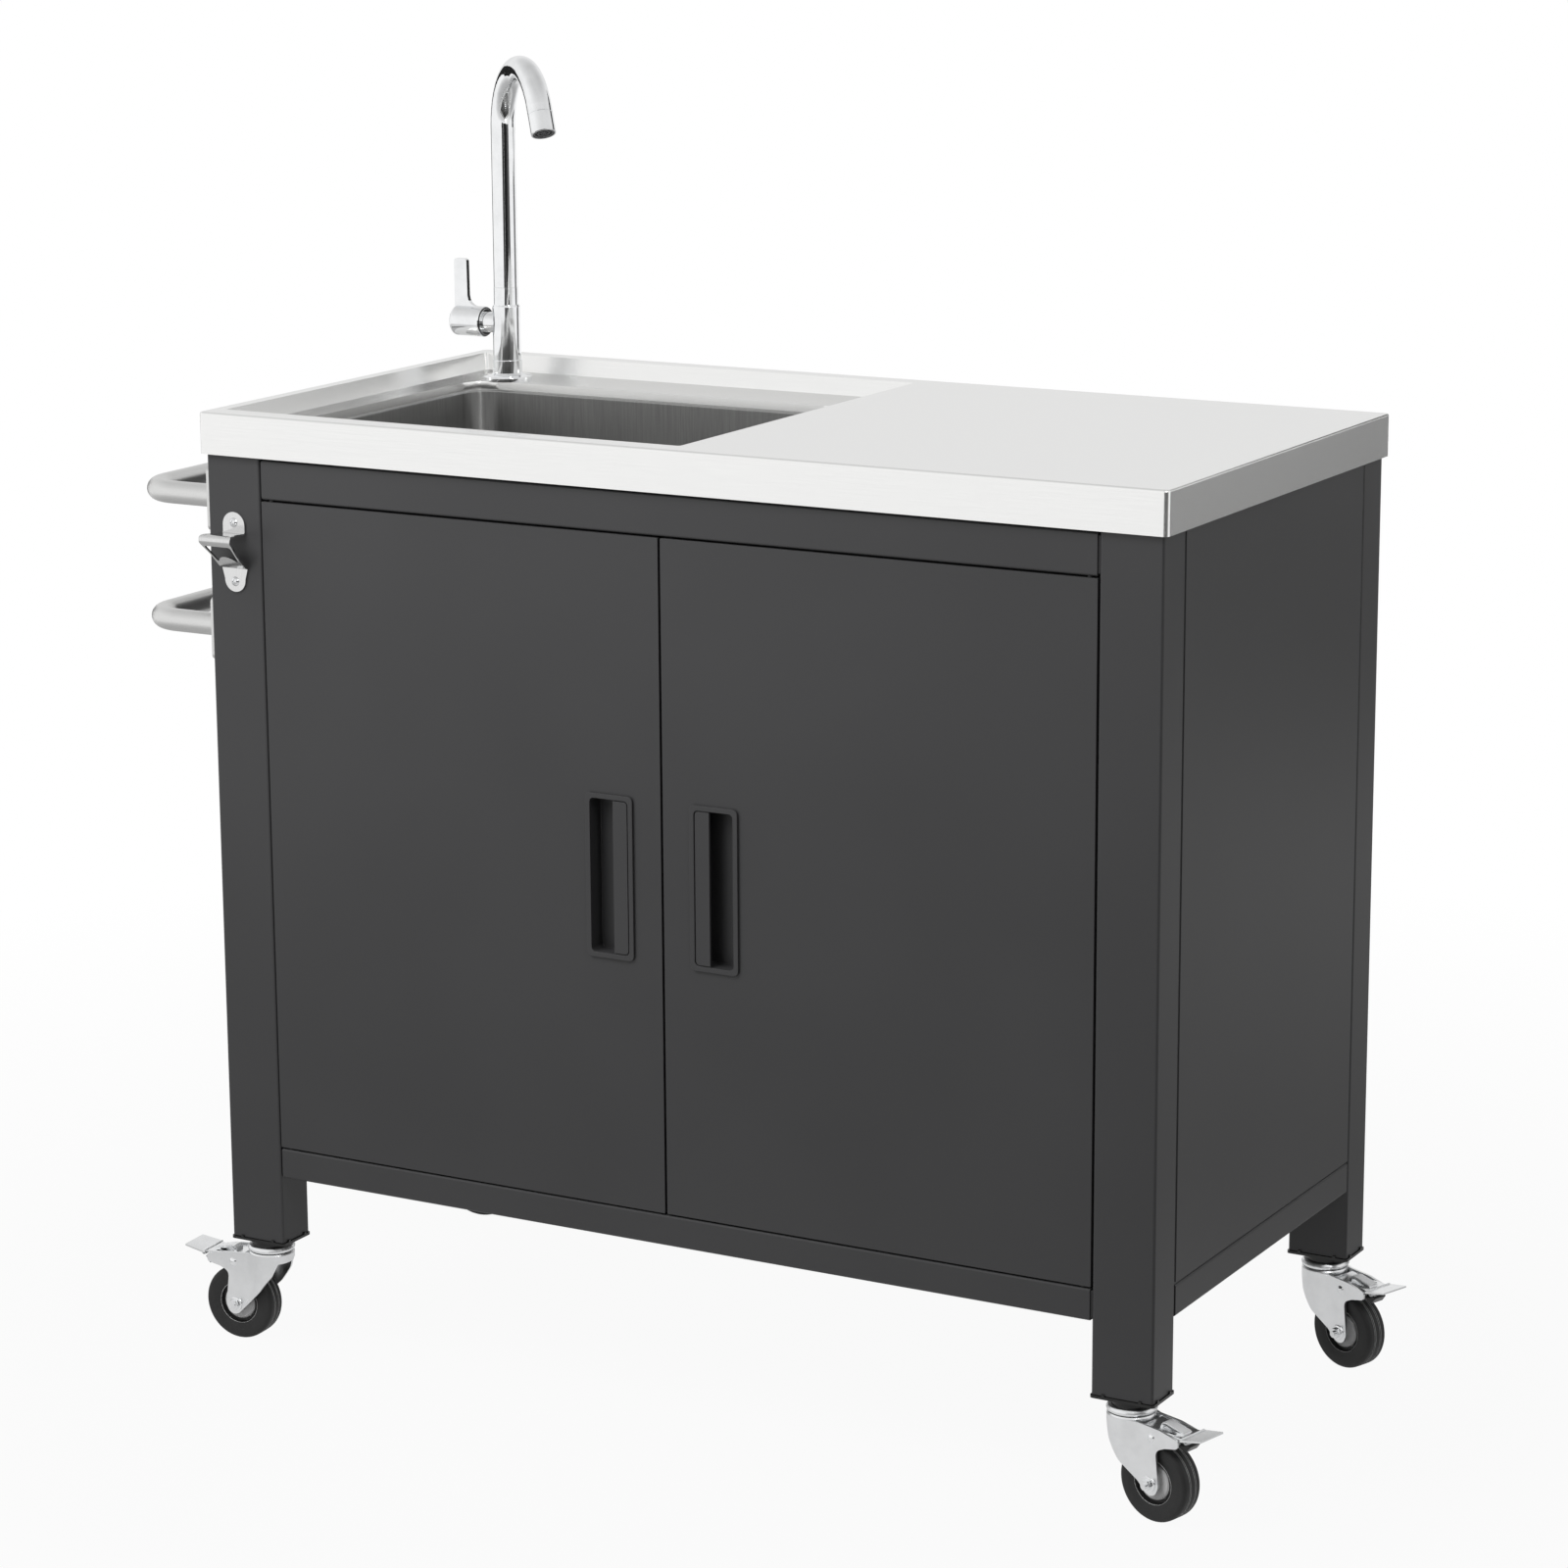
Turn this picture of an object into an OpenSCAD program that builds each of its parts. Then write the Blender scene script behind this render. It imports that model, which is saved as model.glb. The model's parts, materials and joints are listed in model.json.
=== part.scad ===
// Portable handwash sink: a steel cabinet on four braked casters, with a stainless worktop,
// a pressed bowl, a swivelling gooseneck faucet, two towel bars and a bottle opener.
// X runs left to right, Y front to back and Z up from the floor.

/* [Worktop] */
// Width of the worktop, left to right
top_w = 1000; // [960:5:1100]
// Depth of the worktop, front to back
top_d = 500; // [490:5:560]
// Height of the worktop above the floor
top_h = 925; // [890:5:960]
// Height of the worktop's turned-down edge
edge_h = 40; // [34:1:46]
// How far the worktop stands out past the cabinet
overhang = 5; // [3:1:8]
// Depth of the sink deck below the worktop
deck_drop = 17; // [14:1:20]

/* [Bowl] */
// Length of the bowl opening, left to right
bowl_w = 429; // [400:1:430]
// Width of the bowl opening, front to back
bowl_d = 348; // [320:1:350]
// Depth of the bowl below the deck
bowl_depth = 150; // [120:5:170]
// Corner radius of the bowl
bowl_r = 30; // [26:1:60]

/* [Cabinet] */
// Leg tube size along the front
leg_w = 60; // [56:1:66]
// Leg tube size along the side
leg_d = 44; // [40:1:48]
// Height of the leg tubes above the floor
leg_z = 110; // [108:1:112]
// Height of the bottom rails' lower face
base_z = 178; // [165:1:190]
// Height of the front and rear bottom rails
base_rail_h = 30; // [26:1:36]
// Height of the front and rear top rails
top_rail_h = 40; // [34:1:46]
// Thickness of the doors
door_t = 20; // [19:1:22]
// Gap round each door
door_gap = 1.5; // [1.4:0.1:2.2]

/* [Faucet] */
// Diameter of the spout tube
spout_dia = 24.8; // [24:0.2:26]
// Radius of the gooseneck bend
neck_r = 63; // [55:1:70]
// Angle of the gooseneck bend
neck_bend = 152; // [145:1:160]
// Height of the straight neck above its swivel
neck_h = 159; // [130:1:180]
// Which way the spout points, from the right towards the front
spout_turn = 40; // [30:1:60]

/* [Towel bars] */
// Diameter of the bars
bar_dia = 22; // [19:0.5:25]
// How far the bars stand out from the cabinet
bar_reach = 92; // [75:1:100]
// Height of the upper bar
bar_upper_z = 840.5; // [835:0.5:846]
// Height of the lower bar
bar_lower_z = 716; // [700:0.5:740]

/* [Casters] */
// Diameter of the wheels
wheel_dia = 74; // [70:0.5:75]
// Width of the tyres
tyre_w = 24; // [22:0.5:25]
// How far each axle trails behind its swivel
trail = 33; // [31:0.5:34]
// Turn of the four casters, as front left, front right, rear left, rear right
caster_turn = [184, -14, 205, -20];

/* [Hidden] */
$fn = 48;

// Colours
charcoal = [0.24, 0.24, 0.25];
plastic_black = [0.08, 0.08, 0.08];
stainless = [0.78, 0.78, 0.77];
chrome = [0.86, 0.87, 0.88];
zinc = [0.74, 0.75, 0.76];
rubber_black = [0.13, 0.13, 0.13];
hub_grey = [0.62, 0.62, 0.62];

// Cabinet
cab_w = top_w - 2 * overhang;
cab_d = top_d - 2 * overhang;
under_z = top_h - edge_h;
tube_wall = 2;
tube_r = 2.5;
rail_d = 25;
groove = 2;
skin = 1.2;
span_w = cab_w - 2 * leg_w;
span_d = cab_d - 2 * leg_d;
face_y = -cab_d / 2;
base_top = base_z + base_rail_h;
top_rail_z = under_z - top_rail_h;

shadow_gap = 2.4;

// Worktop
sheet = 1.5;
corner_r = 5;
fold_r = 2.5;
hem = 16;
rim_left = 18;
rim_front = 27;
rim_back = 25;
well_right = 9;
well_w = top_w / 2 - rim_left + well_right;
well_d = top_d - rim_front - rim_back;
well_x = well_right - well_w / 2;
well_y = (rim_front - rim_back) / 2;
deck_z = top_h - deck_drop;
ledge_left = 32;
ledge_front = 30;
collar_h = 8.5;
collar_run = 2;
collar_step = 4;
bowl_x = well_x - well_w / 2 + ledge_left + bowl_w / 2;
bowl_y = well_y - well_d / 2 + ledge_front + bowl_d / 2;
bowl_flange_z = deck_z - collar_h;
bowl_flange = 2.5;
bowl_floor_z = deck_z - bowl_depth;
bowl_bottom_r = 20;
drain_hole_r = 22.5;

// Drain
throat_r = 22;
throat_z = bowl_floor_z - 33;
tail_r = 19;
tail_len = 72;

// Faucet
faucet_x = well_x - well_w / 2 + 58;
faucet_y = well_y + well_d / 2 - 52;
shank_r = 10.5;
shank_z = deck_z - 58;
swivel_z = deck_z + 94;
shoulder_z = deck_z + 74;
lever_z = deck_z + 57;
body_r = 14.1;
spout_r = spout_dia / 2;
spigot_r = 8;
fit = 0.05;
stub_r = 10.4;
stub_out = 24.4;
barrel_r = 15.3;
barrel_in = 25.2;
barrel_out = 61;
blade_top = 63;
aerator_len = 29;

// Towel bars
bar_r = bar_dia / 2;
bar_bend_r = 35;
bar_flange = [3, 40, 60];
leg_mid_y = cab_d / 2 - leg_d / 2;
leg_mid_x = cab_w / 2 - leg_w / 2;

// Doors
pivot_in = 9;
pivot_back = 5;
pivot_r = 3;
door_w = span_w / 2 - door_gap - door_gap * 0.8;
door_z = base_top + door_gap;
door_h = top_rail_z - door_gap - door_z;
pull_w = 50;
pull_h = 155;
pull_mid_x = 55;
pull_mid_z = 525;

// Casters
wheel_r = wheel_dia / 2;
fork_half = 16.7;
fork_t = 2.5;
crown_r = 22.5;
stem_r = 6;
crown_z = 84;
race_z = 94.8;
race_top = 101.3;
lip_top = 94;
boss_r = 18.7;
cap_lip = 2.6;
cap_z = leg_z - cap_lip;
axle_r = 4;
rim_r = 19;
web_half = 4.5;
brake_u = 35;
brake_z = 80.7;
brake_r = 2.5;
caster_at = [
    [-leg_mid_x, -leg_mid_y], [leg_mid_x, -leg_mid_y],
    [-leg_mid_x, leg_mid_y], [leg_mid_x, leg_mid_y],
];

// The bottle opener is one bent strip down the front left leg, with a lip that stands out
opener_x = -leg_mid_x;
opener_t = 2;
opener_top = 831.5;
opener_fold = 812;
opener_lip = 34;
opener_lip_z = 810;
opener_back = 784;
opener_low = 755;

// The origin is on the floor under the middle of the overall box, which reaches from the
// towel bars to the front right pedal, and from the opener's lip to the worktop's back.
pedal_tip = 90;
tread_half = 16.2;
tread_corner = 0.8;
reach_left = cab_w / 2 + bar_reach + bar_r;
reach_right = leg_mid_x + (pedal_tip - tread_corner) * cos(caster_turn[1])
    + (tread_half - tread_corner) * abs(sin(caster_turn[1])) + tread_corner;
reach_front = cab_d / 2 + opener_lip;
origin_x = (reach_right - reach_left) / 2;
origin_y = (top_d / 2 - reach_front) / 2;

// ---- Outlines -------------------------------------------------------------

// Points along an arc about c, from angle a to angle b
function arc(c, r, a, b, n = 6) =
    [for (i = [0:n]) c + r * [cos(a + (b - a) * i / n), sin(a + (b - a) * i / n)]];

// A rectangle about the middle, with rounded corners
function rounded(w, d, r, n = 4) = concat(
    arc([w / 2 - r, d / 2 - r], r, 0, 90, n), arc([r - w / 2, d / 2 - r], r, 90, 180, n),
    arc([r - w / 2, r - d / 2], r, 180, 270, n), arc([w / 2 - r, r - d / 2], r, 270, 360, n));

// The point where an arc of radius r, tucked into the corner b of a, b, c, has its centre
function unit(v) = v / norm(v);
function turn_angle(v) = atan2(v[1], v[0]);
function blend(a, b, c, r, n = 4) =
    let (
        u = unit(a - b), v = unit(c - b),
        half = acos(u * v) / 2,
        mid = b + unit(u + v) * r / sin(half),
        from = turn_angle(b + u * r / tan(half) - mid),
        sweep = turn_angle(b + v * r / tan(half) - mid) - from,
        short = sweep > 180 ? sweep - 360 : sweep < -180 ? sweep + 360 : sweep
    ) arc(mid, r, from, from + short, n);

// A closed outline whose corners are rounded: each entry is x, y and the corner's radius
function smooth(pts, n = 4) = [
    for (i = [0:len(pts) - 1])
        let (
            a = pts[(i + len(pts) - 1) % len(pts)], b = pts[i], c = pts[(i + 1) % len(pts)],
            p = [b[0], b[1]]
        )
        each (b[2] == 0 ? [p] : blend([a[0], a[1]], p, [c[0], c[1]], b[2], n))
];

// A half outline and its mirror image, closed. It starts and ends on the line it is mirrored
// in, where axis 0 flips x and axis 1 flips y
function mirrored(half, axis) = concat(half, [
    for (i = [len(half) - 1:-1:0])
        let (p = axis == 0 ? [-half[i][0], half[i][1]] : [half[i][0], -half[i][1]])
        if (norm(p - half[i]) > 0.001) p
]);

// Sweeps a profile round a rectangle with rounded corners. The profile's x is 0 on
// the rectangle and grows outwards; it may reach r inwards.
module sweep_round(w, d, r) {
    for (i = [0:3]) {
        long = i % 2 == 0 ? d : w;
        wide = i % 2 == 0 ? w : d;
        rotate([0, 0, i * 90]) {
            translate([wide / 2 - r, long / 2 - r, 0])
                rotate_extrude(angle = 90) translate([r, 0]) children();
            translate([wide / 2, r - long / 2, 0]) mirror([0, 1, 0])
                rotate([90, 0, 0]) linear_extrude(long - 2 * r) children();
        }
    }
}

module frame_plate(outer, inner, h) {
    linear_extrude(h) difference() {
        polygon(outer);
        polygon(inner);
    }
}

module hex_head(across, h) {
    cylinder(h = h, r = across / sqrt(3), $fn = 6);
}

// ---- Cabinet --------------------------------------------------------------

module leg(side, end) {
    color(charcoal)
        translate([side * leg_mid_x, end * leg_mid_y, leg_z])
        frame_plate(
            rounded(leg_w, leg_d, tube_r),
            rounded(leg_w - 2 * tube_wall, leg_d - 2 * tube_wall, tube_r - 1),
            under_z - leg_z);
}

// A plug for the leg's end, with a lip below the tube and a bore for the caster's stem
module leg_cap(side, end) {
    plug_h = 24;
    plug_w = leg_w - 2 * tube_wall;
    plug_d = leg_d - 2 * tube_wall;
    translate([side * leg_mid_x, end * leg_mid_y, 0]) difference() {
        union() {
            translate([0, 0, cap_z])
                linear_extrude(cap_lip) polygon(rounded(leg_w + 2.6, leg_d + 2.6, 3.4));
            translate([0, 0, cap_z])
                linear_extrude(cap_lip + plug_h) polygon(rounded(plug_w, plug_d, 1.5));
            translate([0, 0, race_top]) cylinder(h = cap_z - race_top, r = boss_r);
            for (face = [-1, 1], place = [-0.3, 0.3]) {
                translate([place * leg_w, face * (leg_d / 2 + 0.75), leg_z + 1])
                    cube([3, 1.5, 2], center = true);
                translate([face * (leg_w / 2 + 0.75), place * leg_d, leg_z + 1])
                    cube([1.5, 3, 2], center = true);
            }
        }
        translate([0, 0, race_top - 1]) cylinder(h = leg_z + plug_h - race_top + 2, r = stem_r);
    }
}

module leg_caps() {
    color(plastic_black) for (side = [-1, 1], end = [-1, 1]) leg_cap(side, end);
}

// A rectangular tube along X from -len/2 to len/2, whose closed ends are a smaller block,
// so that a dark groove shows where it meets a leg
module rail(len, h) {
    rotate([90, 0, 90]) translate([0, 0, -len / 2]) {
        translate([0, 0, groove]) frame_plate(
            rounded(rail_d, h, tube_r), rounded(rail_d - 2 * tube_wall, h - 2 * tube_wall, 1),
            len - 2 * groove);
        for (end = [0, len - 2 * groove])
            translate([0, 0, end]) linear_extrude(2 * groove)
                polygon(rounded(rail_d - 2 * tube_wall, h - 2 * tube_wall, 1));
    }
}

module cross_rail(end, z, h) {
    color(charcoal)
        translate([0, end * (cab_d - rail_d) / 2, z + h / 2]) rail(span_w, h);
}

module side_rail(side) {
    color(charcoal)
        translate([side * (cab_w - rail_d) / 2, 0, base_z + base_rail_h / 2])
        rotate([0, 0, 90]) rail(span_d, base_rail_h);
}

// A folded sheet panel facing -Y: its skin stops short of the frame that backs it,
// and a box-shaped return stiffens its edge
module panel(w, h) {
    deep = 14;
    lip = 18;
    step = 1.2;
    overlap = 0.8;
    rotate([90, 0, 0]) {
        translate([0, 0, -step - overlap]) linear_extrude(step + overlap)
            polygon(rounded(w - 2 * groove, h - 2 * groove, 1));
        translate([0, 0, -deep]) frame_plate(
            rounded(w, h, 1), rounded(w - 2 * groove - 2, h - 2 * groove - 2, 0.8), deep - step);
        translate([0, 0, -deep]) frame_plate(
            rounded(w, h, 1), rounded(w - 2 * lip, h - 2 * lip, 1), skin);
    }
}

module side_panel(side) {
    panel_h = under_z - base_top;
    color(charcoal)
        translate([side * cab_w / 2, 0, base_top + panel_h / 2])
        rotate([0, 0, side * 90]) panel(span_d, panel_h);
}

module back_panel() {
    panel_h = top_rail_z - base_top;
    color(charcoal)
        translate([0, cab_d / 2, base_top + panel_h / 2])
        rotate([0, 0, 180]) panel(span_w, panel_h);
}

// The floor between the bottom rails, notched round the legs and folded down at its edges
module floor_panel() {
    w = cab_w / 2 - rail_d;
    d = cab_d / 2 - rail_d;
    nx = cab_w / 2 - leg_w;
    ny = cab_d / 2 - leg_d;
    outline = [
        [w, -ny], [w, ny], [nx, ny], [nx, d], [-nx, d], [-nx, ny],
        [-w, ny], [-w, -ny], [-nx, -ny], [-nx, -d], [nx, -d], [nx, -ny],
    ];
    fold_h = 16;
    color(charcoal) translate([0, 0, base_top - skin]) {
        linear_extrude(skin) polygon(outline);
        for (side = [-1, 1]) {
            translate([side * (w - skin / 2), 0, -fold_h / 2])
                cube([skin, 2 * ny, fold_h], center = true);
            translate([0, side * (d - skin / 2), -fold_h / 2])
                cube([2 * nx, skin, fold_h], center = true);
        }
    }
}

// ---- Worktop and bowl -----------------------------------------------------

module well_at(z) {
    translate([well_x, well_y, z]) children();
}

module bowl_at(z) {
    translate([bowl_x, bowl_y, z]) children();
}

// The turned-down edge in section: a folded corner and a short strip of the top
function edge_profile() = concat(
    [[0, -edge_h]], arc([-fold_r, -fold_r], fold_r, 0, 90, 5), [[-corner_r, 0], [-corner_r, -sheet]],
    arc([-fold_r, -fold_r], fold_r - sheet, 90, 0, 4), [[-sheet, -edge_h]]);

module worktop() {
    color(stainless) {
        translate([0, 0, top_h]) sweep_round(top_w, top_d, corner_r) polygon(edge_profile());
        difference() {
            translate([0, 0, top_h - sheet / 2])
                cube([top_w - 2 * corner_r, top_d - 2 * corner_r, sheet], center = true);
            well_at(top_h - sheet - 1) linear_extrude(sheet + 2) polygon(rounded(well_w, well_d, 3));
        }
        translate([0, 0, under_z]) frame_plate(
            rounded(top_w - sheet, top_d - sheet, corner_r - sheet / 2),
            rounded(top_w - 2 * hem, top_d - 2 * hem, 2), sheet);
        well_at(deck_z) frame_plate(
            rounded(well_w + 2 * sheet, well_d + 2 * sheet, 3 + sheet),
            rounded(well_w, well_d, 3), deck_drop - sheet / 2);
        difference() {
            well_at(deck_z - sheet) linear_extrude(sheet)
                polygon(rounded(well_w + 2 * sheet, well_d + 2 * sheet, 3 + sheet));
            bowl_at(deck_z - sheet - 1) linear_extrude(sheet + 2)
                polygon(rounded(bowl_w + 2, bowl_d + 2, bowl_r + 1, 12));
            translate([faucet_x, faucet_y, deck_z - sheet - 1])
                cylinder(h = sheet + 2, r = shank_r + 0.5);
        }
        // A short, slightly sloping drop round the bowl
        bowl_at(0) sweep_round(bowl_w, bowl_d, bowl_r) polygon([
            [2, deck_z], [0, deck_z], [-collar_run, bowl_flange_z + 0.8], [-collar_run, bowl_flange_z],
            [-collar_run + 2, bowl_flange_z], [2, deck_z - sheet],
        ]);
    }
}

// The bowl's wall in section, from its flange down to the start of its floor
function bowl_profile() =
    let (
        z0 = bowl_flange_z, z1 = bowl_floor_z, in = collar_step, r = bowl_bottom_r
    ) concat(
        [[bowl_flange, z0], [-in + 2, z0]], arc([-in + 2, z0 - 2], 2, 90, 180, 3),
        arc([-in - r, z1 + r], r, 0, -90, 8),
        arc([-in - r, z1 + r], r + skin, -90, 0, 8),
        [[-in + skin, z0 - 2 - skin], [bowl_flange, z0 - skin]]);

module bowl() {
    inset = collar_step + bowl_bottom_r;
    color(stainless) {
        bowl_at(0) sweep_round(bowl_w, bowl_d, bowl_r) polygon(bowl_profile());
        bowl_at(bowl_floor_z - skin) sweep_round(bowl_w - 2 * inset, bowl_d - 2 * inset, bowl_r - inset)
            polygon([[0, 0], [0, skin], [inset - bowl_r, skin], [inset - bowl_r, 0]]);
        difference() {
            bowl_at(bowl_floor_z - skin / 2)
                cube([bowl_w - 2 * bowl_r, bowl_d - 2 * bowl_r, skin], center = true);
            bowl_at(bowl_floor_z - skin - 1) cylinder(h = skin + 2, r = drain_hole_r);
        }
    }
}

// A flanged basket strainer, seated in the bowl's floor
module drain_strainer() {
    flange_r = 36;
    plate_z = bowl_floor_z - 12;
    color(chrome) bowl_at(0) {
        rotate_extrude() polygon([
            [throat_r - 2, throat_z], [throat_r, throat_z], [throat_r, bowl_floor_z],
            [flange_r, bowl_floor_z], [flange_r, bowl_floor_z + 0.8],
            [throat_r + 4, bowl_floor_z + 2.2], [throat_r, bowl_floor_z + 1],
            [throat_r - 2, bowl_floor_z - 3],
        ]);
        difference() {
            translate([0, 0, plate_z]) cylinder(h = 1.5, r = throat_r - 1);
            for (ring = [[0, 1], [7.5, 6], [14.5, 12]], i = [0:ring[1] - 1])
                rotate([0, 0, i * 360 / ring[1]]) translate([ring[0], 0, plate_z - 1])
                    cylinder(h = 4, r = 2.1);
        }
    }
}

module drain_locknut() {
    nut_h = 8;
    color(plastic_black) bowl_at(bowl_floor_z - skin - nut_h) difference() {
        union() {
            cylinder(h = nut_h, r = 29);
            for (i = [0:5]) rotate([0, 0, i * 60]) translate([29, 0, nut_h / 2])
                cube([8, 7, nut_h], center = true);
        }
        translate([0, 0, -1]) cylinder(h = nut_h + 2, r = throat_r);
    }
}

// A coupling nut and a straight tube, which ends open for a trap or a waste hose
module drain_tailpiece() {
    color(plastic_black) bowl_at(throat_z) {
        rotate_extrude() polygon([
            [tail_r - 1.8, 0], [tail_r - 1.8, -tail_len], [tail_r, -tail_len], [tail_r, -10],
            [27, -10], [27, 8], [throat_r, 8], [throat_r, 0],
        ]);
        for (i = [0:11]) rotate([0, 0, i * 30])
            translate([27, 0, -1]) cylinder(h = 16, r = 1.6, center = true);
    }
}

// ---- Faucet ---------------------------------------------------------------

module faucet_at(z) {
    translate([faucet_x, faucet_y, z]) children();
}

module faucet_body() {
    collar_r = spout_r + 0.2;
    color(chrome) difference() {
        union() {
            faucet_at(0) rotate_extrude() polygon(concat(
                [[0, deck_z], [24.5, deck_z]], arc([23.5, deck_z + 3.2], 1, 0, 90, 3),
                [[17, deck_z + 5.4], [14.8, deck_z + 7.5], [14.8, deck_z + 20], [14.5, deck_z + 20.5],
                 [body_r, deck_z + 20.8], [body_r, shoulder_z], [collar_r, shoulder_z + 2.4],
                 [collar_r, swivel_z - 0.4], [collar_r - 0.4, swivel_z], [0, swivel_z]]));
            faucet_at(lever_z) rotate([0, -90, 0]) cylinder(h = stub_out, r = stub_r);
        }
        faucet_at(swivel_z - 26) cylinder(h = 27, r = spigot_r + fit);
        faucet_at(lever_z) rotate([0, -90, 0]) translate([0, 0, stub_out - 9]) cylinder(h = 10, r = 6 + fit);
    }
}

// The threaded shank under the deck and its nut
module faucet_shank() {
    color(zinc) faucet_at(0) {
        translate([0, 0, shank_z + 1]) cylinder(h = deck_z - shank_z - 1, r = shank_r);
        translate([0, 0, shank_z]) cylinder(h = 1, r1 = shank_r - 1, r2 = shank_r);
        translate([0, 0, deck_z - sheet - 2]) cylinder(h = 2, r = 15);
        translate([0, 0, deck_z - sheet - 11]) hex_head(26, 9);
    }
}

module lever_seal() {
    color(plastic_black) faucet_at(lever_z) rotate([0, -90, 0])
        translate([0, 0, stub_out]) difference() {
            cylinder(h = barrel_in - stub_out, r = 14.3);
            translate([0, 0, -1]) cylinder(h = 4, r = 6 + 2 * fit);
        }
}

module lever() {
    long = barrel_out - barrel_in;
    color(chrome) faucet_at(lever_z) {
        rotate([0, -90, 0]) {
            translate([0, 0, stub_out - 8]) cylinder(h = 9 + barrel_in - stub_out, r = 6);
            translate([0, 0, barrel_in]) rotate_extrude() polygon(concat(
                [[0, 0], [barrel_r - 0.6, 0], [barrel_r, 0.6]],
                arc([barrel_r - 4, long - 4], 4, 0, 90, 5), [[0, long]]));
        }
        translate([-barrel_out, 2.5, 0]) rotate([90, 0, 0]) linear_extrude(5) polygon(smooth([
            [0.6, 9, 0], [0.6, blade_top, 3], [15.6, blade_top, 3],
            [16.2, 15.6, 11], [33, 14.6, 0], [33, 9, 0],
        ]));
    }
}

// Places its children at the end of the bend, with +Z pointing out of the spout
module at_mouth() {
    translate([neck_r * (1 - cos(neck_bend)), 0, neck_h + neck_r * sin(neck_bend)])
        rotate([0, neck_bend, 0]) children();
}

module spout_at() {
    faucet_at(swivel_z) rotate([0, 0, -spout_turn]) children();
}

module spout_ring() {
    difference() {
        circle(r = spout_r);
        circle(r = spout_r - 1.4);
    }
}

// A spigot that turns in the body, a straight neck and the bend
module spout() {
    color(chrome) spout_at() {
        rotate_extrude() polygon([
            [spigot_r - 2, -25], [spigot_r, -25], [spigot_r, 0], [spout_r, 0], [spout_r, neck_h],
            [spout_r - 1.4, neck_h], [spout_r - 1.4, 4], [spigot_r - 2, 4],
        ]);
        translate([neck_r, 0, neck_h]) rotate([90, 0, 180])
            rotate_extrude(angle = neck_bend) translate([neck_r, 0]) spout_ring();
    }
}

// The sleeve at the mouth, with a recessed insert that has rings of small openings
module aerator() {
    insert = 2.2;
    seam = 8;
    color(chrome) spout_at() at_mouth() difference() {
        rotate_extrude() polygon([
            [0, 2], [spout_r - 1.4, 2], [spout_r - 1.4, 0], [spout_r, 0], [spout_r, seam],
            [spout_r - 0.5, seam + 0.2], [spout_r - 0.5, seam + 0.6], [spout_r, seam + 0.8],
            [spout_r, aerator_len - 0.4], [spout_r - 0.4, aerator_len], [spout_r - 1.6, aerator_len],
            [spout_r - 1.6, aerator_len - insert], [0, aerator_len - insert],
        ]);
        translate([0, 0, 1]) cylinder(h = 8, r = 6);
        for (ring = [[3.2, 6], [7, 12]], i = [0:ring[1] - 1])
            rotate([0, 0, i * 360 / ring[1]]) translate([ring[0], 0, 6])
                cylinder(h = aerator_len, r = 0.9, $fn = 16);
    }
}

// ---- Towel bars and opener ------------------------------------------------

module bar_run(r) {
    reach = bar_reach - bar_bend_r;
    run = 2 * (leg_mid_y - bar_bend_r);
    for (end = [-1, 1]) {
        translate([-reach, end * leg_mid_y, 0]) rotate([0, 90, 0]) cylinder(h = reach, r = r);
        translate([-reach, end * (leg_mid_y - bar_bend_r), 0])
            rotate([0, 0, end > 0 ? 90 : 180]) rotate_extrude(angle = 90)
                translate([bar_bend_r, 0]) circle(r = r);
    }
    translate([-bar_reach, run / 2, 0]) rotate([90, 0, 0]) cylinder(h = run, r = r);
}

module towel_bar(z) {
    color(stainless) translate([-cab_w / 2, 0, z]) {
        difference() {
            bar_run(bar_r);
            bar_run(bar_r - 1.5);
        }
        for (end = [-1, 1])
            translate([-bar_flange[0], end * leg_mid_y, 0]) rotate([0, 90, 0])
                linear_extrude(bar_flange[0]) polygon(rounded(bar_flange[2], bar_flange[1], 5));
    }
}

module bar_screws() {
    color(stainless) for (z = [bar_upper_z, bar_lower_z], end = [-1, 1], row = [-1, 1])
        translate([-cab_w / 2 - bar_flange[0], end * leg_mid_y, z + row * 22]) rotate([0, -90, 0])
            rotate_extrude() polygon(concat([[0, 0], [4.6, 0]], arc([0, -2.2], 5.1, 25, 85, 5), [[0, 2.9]]));
}

// The strip seen from the side: down the leg, out round a rolled lip and back in
function opener_profile() = concat(
    [[0, opener_top], [0, opener_fold - 1], [1.5, opener_fold - 2.4]],
    arc([opener_lip - 5, opener_lip_z - 1.6], 3, 98, -32, 8),
    [[7, opener_back - 1], [3.4, opener_back - 4.4], [0, opener_back - 6.5], [0, opener_low]],
    [[opener_t, opener_low], [opener_t, opener_back - 6.5], [5, opener_back - 5.4],
     [8.8, opener_back - 2]],
    arc([opener_lip - 5, opener_lip_z - 1.6], 5, -32, 98, 10),
    [[3, opener_fold - 0.4], [opener_t, opener_fold + 0.8], [opener_t, opener_top]]);

// The strip seen from the front, one half: a round upper tab, a wide lip, a waist that
// narrows to the lower bend, and a lower tab that tapers to a round end
function opener_half() = concat(
    arc([0, opener_top - 12.4], 12.4, 90, 0, 8),
    [[12.4, opener_fold]],
    smooth([[12.4, opener_fold, 0], [13, opener_lip_z + 3.6, 1], [18, opener_lip_z + 3, 2],
            [17.6, opener_lip_z - 6, 3], [14.8, opener_back + 9, 8], [14.6, opener_back - 6, 6],
            [11.6, opener_low + 12, 0]], 5),
    arc([0, opener_low + 11.7], 11.7, 0, -90, 8));

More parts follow.
